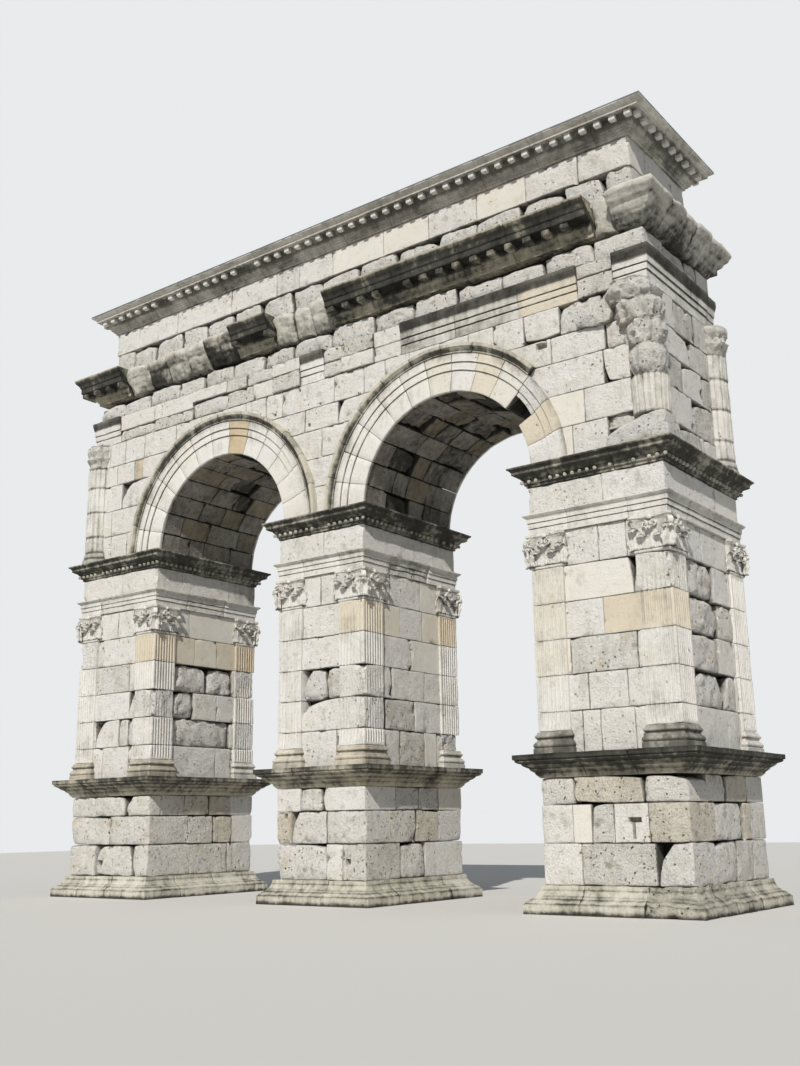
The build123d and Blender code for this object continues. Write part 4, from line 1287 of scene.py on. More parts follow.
# Drums of single pilasters that differ: (pier, side, face) to {drum from the ground: settings}
DRUM_LOOKS = {
    ("left", 1, -1): {1: dict(worn=0.35, corner=0.05), 2: dict(worn=0.7, corner=0.17),
                      4: dict(tint=0.60, worn=0.05)},
    ("left", -1, -1): {4: dict(worn=0.6, corner=0.13)},
    ("left", 1, 1): {1: dict(worn=0.5), 3: dict(worn=0.6, corner=0.08), 4: dict(tint=0.74, worn=0.05)},
    ("middle", 1, -1): {1: dict(worn=0.55, corner=0.12), 2: dict(worn=0.5, corner=0.20, patch=(0.12, 0.52)),
                        4: dict(tint=0.55, worn=0.05)},
    ("middle", 1, 1): {0: dict(worn=0.9, corner=0.16), 4: dict(tint=0.72, worn=0.05)},
    ("middle", -1, -1): {3: dict(worn=0.3)},
    ("right", 1, -1): {3: dict(tint=0.55, worn=0.05), 4: dict(worn=0.45, corner=0.20, tint=0.2)},
    ("right", -1, -1): {2: dict(tint=0.30), 3: dict(tint=0.34), 4: dict(tint=0.30)},
}
BASE_TONES = {"left": (0.62, 0.36), "middle": (0.62, 0.36), "right": (0.34, 0.58), "hidden": (0.15, 0.24)}
DRUM_LEVELS = [PEDESTAL_TOP + 0.40, 3.45, 4.10, 4.75, 5.42, SHAFT_TOP]

# Joints in the bands and mouldings of the piers: X on the front, Y on the right-hand face
BAND_STONES = {"left": (["white", -6.48, "white"], [-0.87, "white", 0.73]),
               "middle": (["white", 0.10, "white"], [-0.83, "white", 0.84]),
               "right": (["white", 6.75, "white"], [-0.70, "white", 0.61])}
ARCHITRAVE_JOINTS = {"left": ([-7.23, -6.05], [0.56, -0.70]), "middle": ([-0.45, 0.57], [-0.83, 0.60]),
                     "right": ([6.02, 7.24], [0.36, -0.80])}
BASE_JOINTS = {"left": ([-7.3, -6.3], [0.3, -0.9]), "middle": ([-0.40, 0.28], [0.83, -0.99]),
               "right": ([6.0, 7.2], [-0.6, 0.5])}

# Wall over the arches: the part left of the right-hand crown, and the part right of it
UPPER_LEVELS = [SPRINGING, 8.77, 9.43, 10.10, 10.63, WALL_TOP]
UPPER_STONES = [
    ([[-7.42, "white", -7.10, "white", -6.50, "white", -5.6], [-0.5, "white", 0.5]],
     [5.6, "cream", 6.17, "white", 6.90]),
    ([[-7.42, "white", -7.12, "white", -5.3], [-0.9, "white", 0.9]],
     [5.3, "cream", 6.45, "white", 7.42]),
    ([[-7.42, "white", -6.75, "white", -5.0], [-1.3, "white", -0.04, "white", 1.3]],
     [5.0, "white", 6.89, "white", 7.42]),
    ([[-7.42, "white", -6.97, "white", -6.31, "brown", -6.0, "white", -4.6],
      [-1.95, "white", -0.54, "white", 0.43, "white", 1.95]],
     [4.4, "white", 5.80, "white", 6.95, "worn", 7.42]),
    ([[-7.42, "white", -7.29, "white", -6.69, "white", -5.95, "white", -4.8, "white", -3.9, "white", -3.19,
       "white", -2.4, "white", -1.75, "white", -1.23, "white", 0.32, "white", 1.16, "white", 1.75, "white",
       2.4, "white", 3.19]],
     [3.19, "white", 3.9, "white", 4.5, "white", 5.21, "white", 6.01, "worn", 6.92, "worn", 7.42]),
]
UPPER_HOLES = [(-0.13, -0.05, 10.66, 10.72), (-0.45, -0.37, 10.22, 10.30), (0.26, 0.34, 10.86, 10.94),
               (-0.74, -0.66, 11.12, 11.19), (-1.50, -1.41, 10.70, 10.78), (5.47, 5.72, 10.46, 10.60)]
UPPER_PULLS = {(2, 0): {1: {TOP_LEFT: (0.38, -0.05)}},
               (0, "right"): {2: {TOP_LEFT: (0.30, -0.05)}},
               (3, 1): {2: {TOP_LEFT: (0.18, -0.02)}},
               (2, "right"): {1: {LOW_LEFT: (0.1, 0.05)}},
               (4, "right"): {3: {LOW_LEFT: (0.05, 0.08), LOW_RIGHT: (0, 0.06)}}}
END_LEVELS = [SPRINGING, 8.67, 9.37, 10.02, 10.60, WALL_TOP]
END_STONES = [[-1.14, "white", -0.70, "pitted", 0.36, "white", 1.14], [-1.14, "white", 0.05, "pitted", 1.14],
              [-1.14, "pitted", -0.30, "white", 0.62, "grey", 1.14], [-1.14, "white", 0.10, "grey", 1.14],
              [-1.14, "white", -0.50, "pitted", 0.45, "grey", 1.14]]
END_PULLS = [{0: {TOP_RIGHT: (-0.14, -0.08)}, 1: {TOP_RIGHT: (-0.05, 0), TOP_LEFT: (0.12, -0.10)}},
             {1: {TOP_LEFT: (0.14, -0.12)}},
             {1: {TOP_LEFT: (0.12, -0.10)}, 2: {TOP_LEFT: (0.06, -0.06)}},
             {0: {TOP_RIGHT: (-0.08, -0.10)}, 1: {TOP_LEFT: (0.12, -0.04)}},
             {1: {TOP_RIGHT: (-0.10, -0.06), TOP_LEFT: (0.06, -0.04)}}]

# Wedge stones of the two arches on the front, from the right-hand springing over the crown: tint, grime
ARCH_LOOKS = {"right": {0: (0.10, 0.1), 1: (0.62, 0.06), 3: (0.28, 0.03), 4: (0.50, 0.03), 5: (0.08, 0.06),
                        6: (0.36, 0.03), 7: (0.22, 0.03), 8: (0.15, 0.04)},
              "left": {5: (0.90, 0.04), 2: (0.2, 0.05), 8: (0.2, 0.05)}}

FRIEZE_STONES = ["boulder", -6.9, "worn", -5.9, "boulder", -4.8, "worn", -3.9, "boulder", -2.9, "worn", -1.9,
                 "boulder", -0.97, "boulder", 0.2, "worn", 1.43, "boulder", 2.5, "worn", 3.6, "boulder", 4.7,
                 "worn", 5.7, "boulder", 6.8, "worn"]
ATTIC_TALL = ["white", -6.70, "white", -5.2, "white", -3.25, "white", -1.73, "grey", -1.01, "white", 0.04,
              "cream", 1.53, "cream", 2.77, "white", 4.03, "cream", 5.23, "white", 6.44, "white"]
ATTIC_LOW = ["worn", -6.9, "boulder", -6.0, "worn", -5.0, "worn", -4.1, "boulder", -3.2, "worn", -2.2,
             "worn", -1.2, "boulder", -0.3, "worn", 0.8, "worn", 1.9, "boulder", 3.0, "worn", 4.0, "worn",
             5.1, "boulder", 6.1, "worn", 7.0, "boulder"]

# Lengths of the great architrave and main cornice on the front: left end in X, then what is left of them.
# From the lost wear upwards, a length of the architrave has fallen off
CORNER_LUMP = dict(bulge=0.04, rough=0.030, worn=0.18, grime=0.15, dense=0.035)
ARCHITRAVE_RUNS = [(-6.9, dict(worn=0.55)), (-5.6, dict(worn=0.8)), (-4.2, dict(worn=0.5)),
                   (-3.0, dict(worn=0.85)), (-1.52, dict(worn=0.6)), (-0.66, dict(worn=0.06)),
                   (0.04, dict(worn=0.75)), (1.47, dict(worn=0.7)),
                   (2.2, dict(worn=0.08, tint=0.15, grime=0.35)), (3.6,
                                                                   dict(worn=0.08, tint=0.15, grime=0.35)),
                   (5.12, dict(worn=0.05, tint=0.60, grime=0.12)), (6.43, dict(worn=0.7)),
                   (7.2, dict(worn=0.06))]
CORNICE_RUNS = [(-6.6, dict(share=0.58, grime=0.04)), (-5.8, dict(share=0.50, grime=0.42)),
                (-5.08, dict(share=0.62, grime=0.16)), (-4.36, dict(share=0.66, grime=0.08)),
                (-3.65, dict(share=0.80, grime=0.52)), (-3.15, dict(share=0.84, grime=0.44)),
                (-2.65, dict(worn=0.1)), (-1.46, dict(share=0.45)), (-0.85, dict(share=0.30)),
                (-0.3, dict(share=0.50)),
                (0.3, dict(worn=0.1)), (1.5, dict(worn=0.06)), (2.7, dict(worn=0.1)), (3.9, dict(worn=0.06)),
                (5.1, dict(worn=0.08)), (6.1, dict(worn=0.12)), (6.85, dict(share=0.30)),
                (7.30, dict(share=0.92, **CORNER_LUMP))]
CORNICE_END = [(-0.95, dict(share=0.88, **CORNER_LUMP)), (-0.30, dict(share=0.82, **CORNER_LUMP)),
               (0.25, dict(share=0.90, **CORNER_LUMP)), (0.95, dict(share=0.84, **CORNER_LUMP))]
LOST_WEAR = 0.5
STUMP_PROFILE = [(0.05, 0), (0.12, 0.05), (0.20, 0.12), (0.34, 0.20), (0.38, 0.26), (0.52, 0.34),
                 (0.60, 0.42), (0.64, 0.50), (0.80, 0.58), (0.86, 0.66), (1.0, 0.76), (1.02, 0.84),
                 (0.96, 0.92), (0.75, 1.0)]
STUMP_LOOK = dict(worn=0.30, rough=0.042, bulge=0.09, tint=0.06, grime=0.10, under=0.30, step=0.06,
                  shade=[(0.0, 0.22), (0.22, 0.05), (0.40, -0.05), (0.60, -0.30)])


# Rules that several pieces share

def begin(context, stream):
    """The settings, random numbers that follow from their seed, and an empty pile."""
    settings = context.scene.stone_arch
    return settings, np.random.default_rng(settings.seed + stream), Pile()


def piers(context, stream):
    """Name, middle and half width of each pier, with its own settings, random numbers and pile."""
    for number, (side, (x, half_x)) in enumerate(PIERS.items()):
        yield (side, x, half_x, *begin(context, stream + number))


def posts(half_x):
    """Side, face and centre of each corner post, from the middle of its pier."""
    return [(side, face, side * (half_x + POST_OUT - POST_SIZE / 2), face * (POST_DEPTH - POST_SIZE / 2))
            for side in (-1, 1) for face in (-1, 1)]


def relative(cuts, x):
    """Cuts in the arch's X turned into distances from the middle of a pier."""
    return [c if isinstance(c, str) else c - x for c in cuts]


def storey(pile, centre_x, half_x, half_y, rows, rng, mean, chips):
    """Courses all round a block of masonry: (bottom, top, front stones, right-hand stones, settings)."""
    middle, depth = (centre_x, 0), 0.45
    for bottom, top, front, right, more in rows:
        holes = [(a - centre_x, b - centre_x, c, d) for a, b, c, d in more.get("holes", ())]
        left_front, left_back = rng.uniform(0.55, 1.1), rng.uniform(0.55, 1.1)
        course(pile, "front", middle, half_y, bottom, top, [-half_x] + relative(front, centre_x) + [half_x],
               rng, depth, (left_front, half_y + right[0]), chips=chips, **dict(more, holes=holes))
        course(pile, "right", middle, half_x, bottom, top, right, rng, depth, chips=chips)
        course(pile, "back", middle, half_y, bottom, top, random_cuts(-half_x, half_x, rng, mean), rng, depth,
               (half_y - right[-1], left_back), chips=chips)
        course(pile, "left", middle, half_x, bottom, top,
               random_cuts(left_back - half_y, half_y - left_front, rng, mean), rng, depth, chips=chips)


def slab(pile, low_corner, high_corner, tint, grime):
    """A plain closed block."""
    (x0, y0, z0), (x1, y1, z1) = low_corner, high_corner
    points = np.array([(x, y, z) for z in (z0, z1) for x, y in ((x0, y0), (x1, y0), (x1, y1), (x0, y1))])
    quads = [(3, 2, 1, 0), (4, 5, 6, 7), (0, 1, 5, 4), (1, 2, 6, 5), (2, 3, 7, 6), (3, 0, 4, 7)]
    pile.add(points, quads, [], tint, grime)


def ring_marks(half_x, half_y, centre_x, front, right, rng, length=1.2):
    """Joints of a moulding round a pier: X on the front, Y on the right; the rest evenly."""
    marks = [x - centre_x + half_x for x in front] + [2 * half_x + y + half_y for y in right]
    around = 4 * (half_x + half_y)
    start, end = max(marks), around + min(marks)
    count = max(2, int(round((end - start) / length)))
    marks += [start + (end - start) * (i + rng.uniform(-0.15, 0.15)) / count for i in range(1, count)]
    corners = ring_corners(half_x, half_y) + [around]
    return [m + 0.15 if min(abs(m % around - c) for c in corners) < 0.08 else m for m in marks]


def run_marks(half_x, half_y, front, right, length, rng, default):
    """Joints and looks round a long moulding, given those on the front and on the right-hand end."""
    marks = [(x + half_x, look) for x, look in front] + [(2 * half_x + y + half_y, look) for y, look in right]
    around = 4 * (half_x + half_y)
    start, end = max(m for m, _ in marks), around + min(m for m, _ in marks)
    count = int(round((end - start) / length))
    corners = ring_corners(half_x, half_y)[2:] + [around]
    for i in range(1, count):
        mark = start + (end - start) * (i + rng.uniform(-0.15, 0.15)) / count
        if min(abs(mark - c) for c in corners) < 0.15:
            mark += 0.35
        marks.append((mark, dict(default)))
    return sorted(marks, key=lambda pair: pair[0])


def pier_moulding(pile, x, half_x, joints, bottom, height, profile, reach, rng, looks=None, **common):
    """A moulding all the way round a pier, between given joints."""
    marks = ring_marks(half_x, PIER_DEPTH, x, *joints, rng)
    moulding_ring(pile, marks, (x, 0), half_x, PIER_DEPTH, bottom, scaled(profile, reach, height), rng, looks,
                  inner=0.28, **common)


def post_moulding(pile, x, post, half, bottom, outline, rng, **common):
    """A moulding round one corner post, its joints on the two sides inside the wall."""
    side, face, at_x, at_y = post
    joints = [3 * half if side < 0 else 7 * half, 5 * half if face < 0 else half]
    moulding_ring(pile, joints, (x + at_x, at_y), half, half, bottom, outline, rng, inner=0.2, step=0.08,
                  **common)


def long_moulding(pile, marks, half_x, half_y, bottom, outline, rng, stump=None, **common):
    """Lengths of a moulding between marks of distance and look.

    A length with a share is a stump of the given outline. Very worn lengths of the front are left out."""
    around = 4 * (half_x + half_y)
    for number, (start, look) in enumerate(marks):
        end = marks[number + 1][0] if number + 1 < len(marks) else marks[0][0] + around
        if stump is None and look.get("worn", 0) >= LOST_WEAR and end < 2 * half_x:
            continue
        shape, settings = outline, dict(common, **look)
        if "share" in look and stump is not None:
            shape = [(far * look["share"], up) for far, up in stump]
            settings = dict(dict(common, **STUMP_LOOK), **look)
            del settings["share"]
        moulded_stone(pile, start, end, (0, 0), half_x, half_y, bottom, shape, rng, **settings)


def repeat_row(name, shape, runs, pitch, lost, seed, material, slot, nodes, rng, **looks):
    """One piece of a shape repeated along straight runs, with a share of its copies lost."""
    tree = bpy.data.node_groups.get("Repeated Row") or repeated_row_tree()
    made = grow(tree, edge_runs(name + "_runs", runs),
                {"Shape": shape, "Pitch": pitch, "Lost Share": lost, "Seed": seed, "Stone": material})
    show(weather(made, rng, **looks), name, material, nodes)


def hollow_square(half, hollow=0.055, chamfer=0.05, count=9):
    """Plan of a square slab with curved-in sides and cut corners."""
    reach = half - chamfer
    line = [(t * reach, -half + hollow * (1 - t * t)) for t in np.linspace(-1, 1, count)]
    plan = []
    for quarter in range(4):
        turn = quarter * math.pi / 2
        plan += [(a * math.cos(turn) - b * math.sin(turn), a * math.sin(turn) + b * math.cos(turn))
                 for a, b in line]
    return np.array(plan)


def stack(pile, centre, plans, heights, rng, damage):
    """Closed solid through plans of the same count at rising heights, partly eaten away."""
    points = np.concatenate([np.column_stack([plan + np.array(centre), np.full(len(plan), z)])
                             for plan, z in zip(plans, heights)])
    seed = int(rng.integers(1, 90000))
    points = points + 0.003 * drift(points, 0.12, seed)
    pull = np.clip(rugged(points, 0.3, seed + 2) - 0.1, 0, 1)[:, None] * damage
    points[:, :2] += (np.array(centre) - points[:, :2]) * pull
    quads, rims = tube(len(plans), len(plans[0]))
    pile.add(points, quads, rims, 0.15 + 0.05 * lumps(points, 0.4, 3), 0.2 + 0.15 * rugged(points, 0.4, 7))


def seed_points(name, places):
    """Points for the carving tree: each is a position, a turn in radians and a size."""
    made = bpy.data.meshes.new(name)
    made.from_pydata([p[0] for p in places], [], [])
    for label, part in (("turn", 1), ("size", 2)):
        layer = made.attributes.new(label, "FLOAT_VECTOR", "POINT")
        layer.data.foreach_set("vector", np.array([p[part] for p in places], np.float32).ravel())
    return made


def capital_carving(x, half_x, rng):
    """Places of the leaves, scrolls and bosses on the four capitals of a pier."""
    leaves, scrolls, bosses = [], [], []
    base = SHAFT_TOP + 0.06
    turns = {(0, -1): 0.0, (1, 0): math.pi / 2, (0, 1): math.pi, (-1, 0): -math.pi / 2}

    def spot(centre, out, far, along, t, z):
        """Position so far out from a post, and t along its face."""
        at = centre + np.array(out, float) * far + along * t
        return at[0], at[1], z

    for side, face, at_x, at_y in posts(half_x):
        centre = np.array([x + at_x, at_y])
        for out in ((0, face), (side, 0)):
            turn = turns[out]
            along = np.array([math.cos(turn), math.sin(turn)])
            for t in (-0.16, 0.16):
                leaves.append((spot(centre, out, CAPITAL_HALF, along, t, base),
                               (0, 0, turn + rng.uniform(-0.05, 0.05)),
                               (0.37, 0.30, 0.30 * rng.uniform(0.9, 1.05))))
            for t in (0.0, -0.32, 0.32):
                leaves.append((spot(centre, out, CAPITAL_HALF, along, t, base), (0, 0, turn),
                               (0.36, 0.31, 0.48 * rng.uniform(0.92, 1.03))))
            for t in (-0.085, 0.085):
                scrolls.append((spot(centre, out, 0.375, along, t, SHAFT_TOP + 0.485),
                                (0, 0, turn if t < 0 else turn + math.pi), (0.13, 0.13, 0.13)))
            bosses.append((spot(centre, out, 0.385, along, 0.0, CAPITAL_TOP - 0.06), (0, 0, turn),
                           (0.055, 0.035, 0.055)))
        diagonal = math.atan2(face, side)
        corner = (side, face)
        leaves.append((spot(centre, corner, CAPITAL_HALF, 0, 0, base), (0, 0, diagonal + math.pi / 2),
                       (0.38, 0.33, 0.47)))
        scrolls.append((spot(centre, corner, 0.345, 0, 0, SHAFT_TOP + 0.475), (0, 0, diagonal),
                        (0.20, 0.16, 0.20)))
    return leaves, scrolls, bosses


def ruined_corner(pile, rng, top, chips):
    """What is left of the column at the front right corner: one fluted drum between shapeless stones."""
    out = UPPER_Y + 0.16
    stone(pile, flat_place("front", (0, 0), out, 6.88, SPRINGING + 0.02), (1.22, 0.54, 0.60), "boulder", rng,
          pull={TOP_RIGHT: (-0.02, 0.02), TOP_LEFT: (0.14, -0.22)}, wrap=True, chips=chips, edge=0.07)
    stone(pile, flat_place("front", (0, 0), UPPER_Y - 0.06, 6.88, SPRINGING + 0.46), (0.9, 0.26, 0.3),
          "pitted", rng, chips=chips)
    column_drum(pile, 1, -1, SPRINGING + 0.58, 9.38, (0.34, 0.345, 0.35), rng, flutes=1.0, worn=0.2,
                tint=0.24, lump=0.010)
    column_drum(pile, 1, -1, 9.38, 9.98, (0.22, 0.33, 0.36, 0.30), rng, worn=1.0, lump=0.04, crumble=0.02,
                tint=0.1, grime=0.08)
    for low_z, high_z, radii, shift in ((9.96, 10.46, (0.30, 0.37, 0.34), -0.02),
                                        (10.42, 10.88, (0.35, 0.42, 0.40), -0.10),
                                        (10.84, top, (0.42, 0.50, 0.46), -0.20)):
        column_drum(pile, 1, -1, low_z, high_z, radii, rng, worn=1.0, lump=0.05, crumble=0.05, shift=shift,
                    grime=0.14)
    stone(pile, flat_place("front", (0, 0), out, 6.35, 10.55), (0.86, 0.56, 0.4), "boulder", rng,
          pull={LOW_LEFT: (0.05, 0.10), LOW_RIGHT: (-0.08, 0.04), TOP_RIGHT: (-0.04, 0.0),
                TOP_LEFT: (0.20, -0.16)}, chips=chips)


# Light and camera

def light_turn(side, lift):
    """Rotation of a lamp that shines from so many degrees right of the front, and above the horizon."""
    side, lift = math.radians(side), math.radians(lift)
    travel = Vector((-math.sin(side) * math.cos(lift), math.cos(side) * math.cos(lift), -math.sin(lift)))
    return travel.to_track_quat("-Z", "Y")


def add_sun(name, strength, softness, side, lift, colour="#FFFFFF"):
    """A lamp with parallel light."""
    data = bpy.data.lights.new(name, "SUN")
    data.energy = strength
    data.angle = softness
    data.color = linear(colour)[:3]
    lamp = bpy.data.objects.new(name, data)
    bpy.context.scene.collection.objects.link(lamp)
    lamp.rotation_mode = "QUATERNION"
    lamp.rotation_quaternion = light_turn(side, lift)


def pale_daylight(strength):
    """World that lights the arch softly and shows a plain pale background."""
    world = bpy.data.worlds.new("pale_daylight")
    world.use_nodes = True
    tree = world.node_tree
    tree.nodes.clear()
    rays = node(tree, "ShaderNodeLightPath", (-600, 300)).outputs
    seen = rays["Is Camera Ray"]
    for column, label in enumerate(("Is Glossy Ray", "Is Transmission Ray")):
        seen = node(tree, "ShaderNodeMath", (-400 + 200 * column, 300), {}, {0: seen, 1: rays[label]},
                    operation="MAXIMUM").outputs[0]
    light = node(tree, "ShaderNodeBackground", (-200, 100),
                 {"Color": linear("#C9D4E4"), "Strength": strength})
    shown = node(tree, "ShaderNodeBackground", (-200, -100), {"Color": linear("#E9EBEC"), "Strength": 1.0})
    mixed = node(tree, "ShaderNodeMixShader", (0, 100), {},
                 {0: seen, 1: light.outputs[0], 2: shown.outputs[0]})
    node(tree, "ShaderNodeOutputWorld", (200, 100), links={"Surface": mixed.outputs[0]})
    return world


def photograph_camera():
    """Camera at the photograph's place, direction and lens, as solved from the edges of the arch."""
    lens = bpy.data.cameras.new("camera")
    lens.sensor_fit = "VERTICAL"
    lens.sensor_height = 36.0
    lens.lens = FOCAL_PIXELS / PHOTO_HEIGHT * lens.sensor_height
    lens.clip_end = 200.0
    camera = bpy.data.objects.new("camera", lens)
    bpy.context.scene.collection.objects.link(camera)
    yaw, pitch, roll = CAMERA_TURN
    ahead = Vector((-math.sin(yaw) * math.cos(pitch), math.cos(yaw) * math.cos(pitch), math.sin(pitch)))
    level = Vector((math.cos(yaw), math.sin(yaw), 0))
    rise = level.cross(ahead)
    right = math.cos(roll) * level + math.sin(roll) * rise
    above = -math.sin(roll) * level + math.cos(roll) * rise
    place = Matrix((right, above, -ahead)).transposed().to_4x4()
    place.translation = Vector(CAMERA_PLACE)
    camera.matrix_world = place
    return camera


# Settings, operators and panel

class StoneArchSettings(bpy.types.PropertyGroup):
    """What can be changed about the arch without touching its measured sizes."""

    seed: bpy.props.IntProperty(
        name="Seed", description="Choice of chips, wear and hidden joints", default=7, min=0)
    chips: bpy.props.FloatProperty(
        name="Chips", description="How many chips the edges of the stones have lost",
        default=1.0, min=0.0, max=4.0)
    dentil_pitch: bpy.props.FloatProperty(
        name="Dentil Pitch", description="Distance from one dentil to the next",
        default=0.32, min=0.2, max=1.0, subtype="DISTANCE", unit="LENGTH")
    bracket_pitch: bpy.props.FloatProperty(
        name="Bracket Pitch", description="Distance between cornice brackets",
        default=0.41, min=0.25, max=1.5, subtype="DISTANCE", unit="LENGTH")
    boss_pitch: bpy.props.FloatProperty(
        name="Boss Pitch", description="Distance between bosses of the imposts",
        default=0.15, min=0.1, max=0.6, subtype="DISTANCE", unit="LENGTH")
    sun_strength: bpy.props.FloatProperty(
        name="Sun Strength", description="Brightness of the sun", default=3.65, min=0.0, max=10.0)
    sun_softness: bpy.props.FloatProperty(
        name="Sun Softness", description="Apparent size of the sun",
        default=math.radians(1), min=0.0, max=1.0, subtype="ANGLE")
    glow_strength: bpy.props.FloatProperty(
        name="Side Glow", description="Brightness of the soft light from the right",
        default=0.15, min=0.0, max=10.0)
    sky_strength: bpy.props.FloatProperty(
        name="Sky Strength", description="Brightness of the light from all round",
        default=0.29, min=0.0, max=5.0)


class STONEARCH_OT_cores(bpy.types.Operator):
    """Dark mortar behind the stones of the piers and of the wall over the arches, also painted shade seen
    through the gaps.
    """

    bl_idname = "stone_arch.cores"
    bl_label = "Wall cores"

    def execute(self, context):
        pile = Pile()
        for x, half_x in PIERS.values():
            slab(pile, (x - half_x + CORE_INSET, -PIER_DEPTH + CORE_INSET, 0.04),
                 (x + half_x - CORE_INSET, PIER_DEPTH - CORE_INSET, 8.3), 0.5, 0.5)
        slab(pile, (-ATTIC_X + CORE_INSET, -ATTIC_Y + CORE_INSET, 12.9),
             (ATTIC_X - CORE_INSET, ATTIC_Y - CORE_INSET, ATTIC_CORNICE_TOP - 0.05), 0.5, 0.5)
        # The wall over the arches follows both barrels underneath
        deep, top, bottom, radius = UPPER_Y - CORE_INSET, 13.0, 8.2, 2.32
        marks = [-UPPER_X + 0.30]
        for centre in (-ARCH_X, ARCH_X):
            marks += [centre - radius * math.cos(math.radians(a)) for a in np.linspace(3.4, 176.6, 41)]
        marks.append(UPPER_X - 0.30)
        underside = []
        for x in marks:
            near = min(abs(x - c) for c in (-ARCH_X, ARCH_X))
            underside.append(max(bottom, SPRINGING + math.sqrt(max(radius ** 2 - near ** 2, 0))))
        count = len(marks)
        points = np.array([(x, y, z) for y in (-deep, deep) for row in (underside, [top] * count)
                           for x, z in zip(marks, row)])
        edges = np.arange(4 * count).reshape(4, count)[[0, 1, 3, 2]]
        quads = [np.stack([a[:-1], a[1:], b[1:], b[:-1]], -1)
                 for a, b in zip(edges, np.roll(edges, -1, axis=0))]
        pile.add(points, np.concatenate(quads), [edges[:, 0], edges[[0, 3, 2, 1], -1]], 0.5, 0.5)
        show(pile, "wall_cores", core_mortar(), smooth=20)
        return {"FINISHED"}


class STONEARCH_OT_bases(bpy.types.Operator):
    """Worn stepped bases under the pedestals."""

    bl_idname = "stone_arch.bases"
    bl_label = "Pier bases"

    def execute(self, context):
        crumbled = {1: dict(worn=0.85, rough=0.026), 2: dict(worn=0.6, rough=0.020)}
        for side, x, half_x, _, rng, pile in piers(context, 10):
            pier_moulding(pile, x, half_x, BASE_JOINTS[side], 0.004, BASE_TOP - 0.004, BASE_PROFILE, 0.34,
                          rng, crumbled if side == "right" else {}, worn=0.10, tint=0.20, grime=0.17,
                          rough=0.009, step=0.07, dense=0.03, under=0.35, shade=BASE_SHADE)
            show(pile, side + "_base_stones", crusted_stone(), [side + "_base"])
        return {"FINISHED"}


class STONEARCH_OT_pedestals(bpy.types.Operator):
    """Three courses of large blocks in each pedestal."""

    bl_idname = "stone_arch.pedestals"
    bl_label = "Pedestals"

    def execute(self, context):
        for side, x, half_x, settings, rng, pile in piers(context, 20):
            rows = [(low_z, high_z, *row) for low_z, high_z, row in
                    zip(DADO_LEVELS[:-1], DADO_LEVELS[1:], DADO_STONES[side])]
            storey(pile, x, half_x + POST_OUT, POST_DEPTH, rows, rng, 1.0, settings.chips)
            show(pile, side + "_pedestal_stones", pale_stone(), [side + "_dado"])
        return {"FINISHED"}


class STONEARCH_OT_pedestal_cornices(bpy.types.Operator):
    """Flared mouldings on the pedestals, dark in their grooves and under the top slab: painted shade, with
    dirt.
    """

    bl_idname = "stone_arch.pedestal_cornices"
    bl_label = "Pedestal cornices"

    def execute(self, context):
        for side, x, half_x, _, rng, pile in piers(context, 30):
            pier_moulding(pile, x, half_x, ([x - 0.45, x + 0.52], [-0.75, 0.35]), DADO_TOP + GAP,
                          PEDESTAL_TOP - DADO_TOP - 2 * GAP, PEDESTAL_PROFILE, 0.411, rng, worn=0.08,
                          tint=0.40, grime=0.36 if side == "right" else 0.20, rough=0.006, step=0.10,
                          dense=0.03, under=0.25, shade=PEDESTAL_SHADE)
            show(pile, side + "_pedestal_cornice_stones", crusted_stone(),
                 [side + "_pedestal_cornice"])
        return {"FINISHED"}


class STONEARCH_OT_pier_walls(bpy.types.Operator):
    """Masonry of the piers between their pilasters."""

    bl_idname = "stone_arch.pier_walls"
    bl_label = "Pier walls"

    def execute(self, context):
        for side, x, half_x, settings, rng, pile in piers(context, 40):
            span_x = half_x - 0.51
            for row, (front, right) in enumerate(WALL_STONES[side]):
                bottom, top = WALL_LEVELS[row:row + 2]
                for face, distance, cuts in (("front", PIER_DEPTH, relative(front, x)),
                                             ("right", half_x, right)):
                    course(pile, face, (x, 0), distance, bottom, top, cuts, rng,
                           pulls=WALL_PULLS.get((side, row, face)), chips=settings.chips)
                for face, distance, span in (("back", PIER_DEPTH, span_x), ("left", half_x, WALL_SPAN_Y)):
                    course(pile, face, (x, 0), distance, bottom, top, random_cuts(-span, span, rng), rng)
            show(pile, side + "_pier_stones", pale_stone(), [side + "_wall"])
        return {"FINISHED"}


class STONEARCH_OT_pilasters(bpy.types.Operator):
    """Fluted corner posts on moulded bases."""

    bl_idname = "stone_arch.pilasters"
    bl_label = "Pilasters"

    def execute(self, context):
        outline = scaled(ATTIC_BASE_PROFILE, 0.075, 0.396)
        for pier, x, half_x, _, rng, pile in piers(context, 50):
            for post in posts(half_x):
                side, face = post[:2]
                looks = DRUM_LOOKS.get((pier, side, face), {})
                tint, grime = BASE_TONES[pier if face < 0 else "hidden"]
                post_moulding(pile, x, post, POST_SIZE / 2, PEDESTAL_TOP + GAP, outline, rng, worn=0.06,
                              tint=tint, grime=grime, rough=0.003, dense=0.035, under=0.45)
                for drum, (bottom, top) in enumerate(zip(DRUM_LEVELS[:-1], DRUM_LEVELS[1:])):
                    look = dict(worn=float(rng.uniform(0.02, 0.22)), tint=0.08, grime=0.06,
                                corner=float(rng.uniform(0.015, 0.04)))
                    look.update(looks.get(drum, {}))
                    post_drum(pile, x, half_x, side, face, bottom, top, rng, starts=drum == 0,
                              stops=drum == 4, **look)
            show(pile, pier + "_pilaster_stones", pale_stone(), [pier + "_pilasters"])
        return {"FINISHED"}


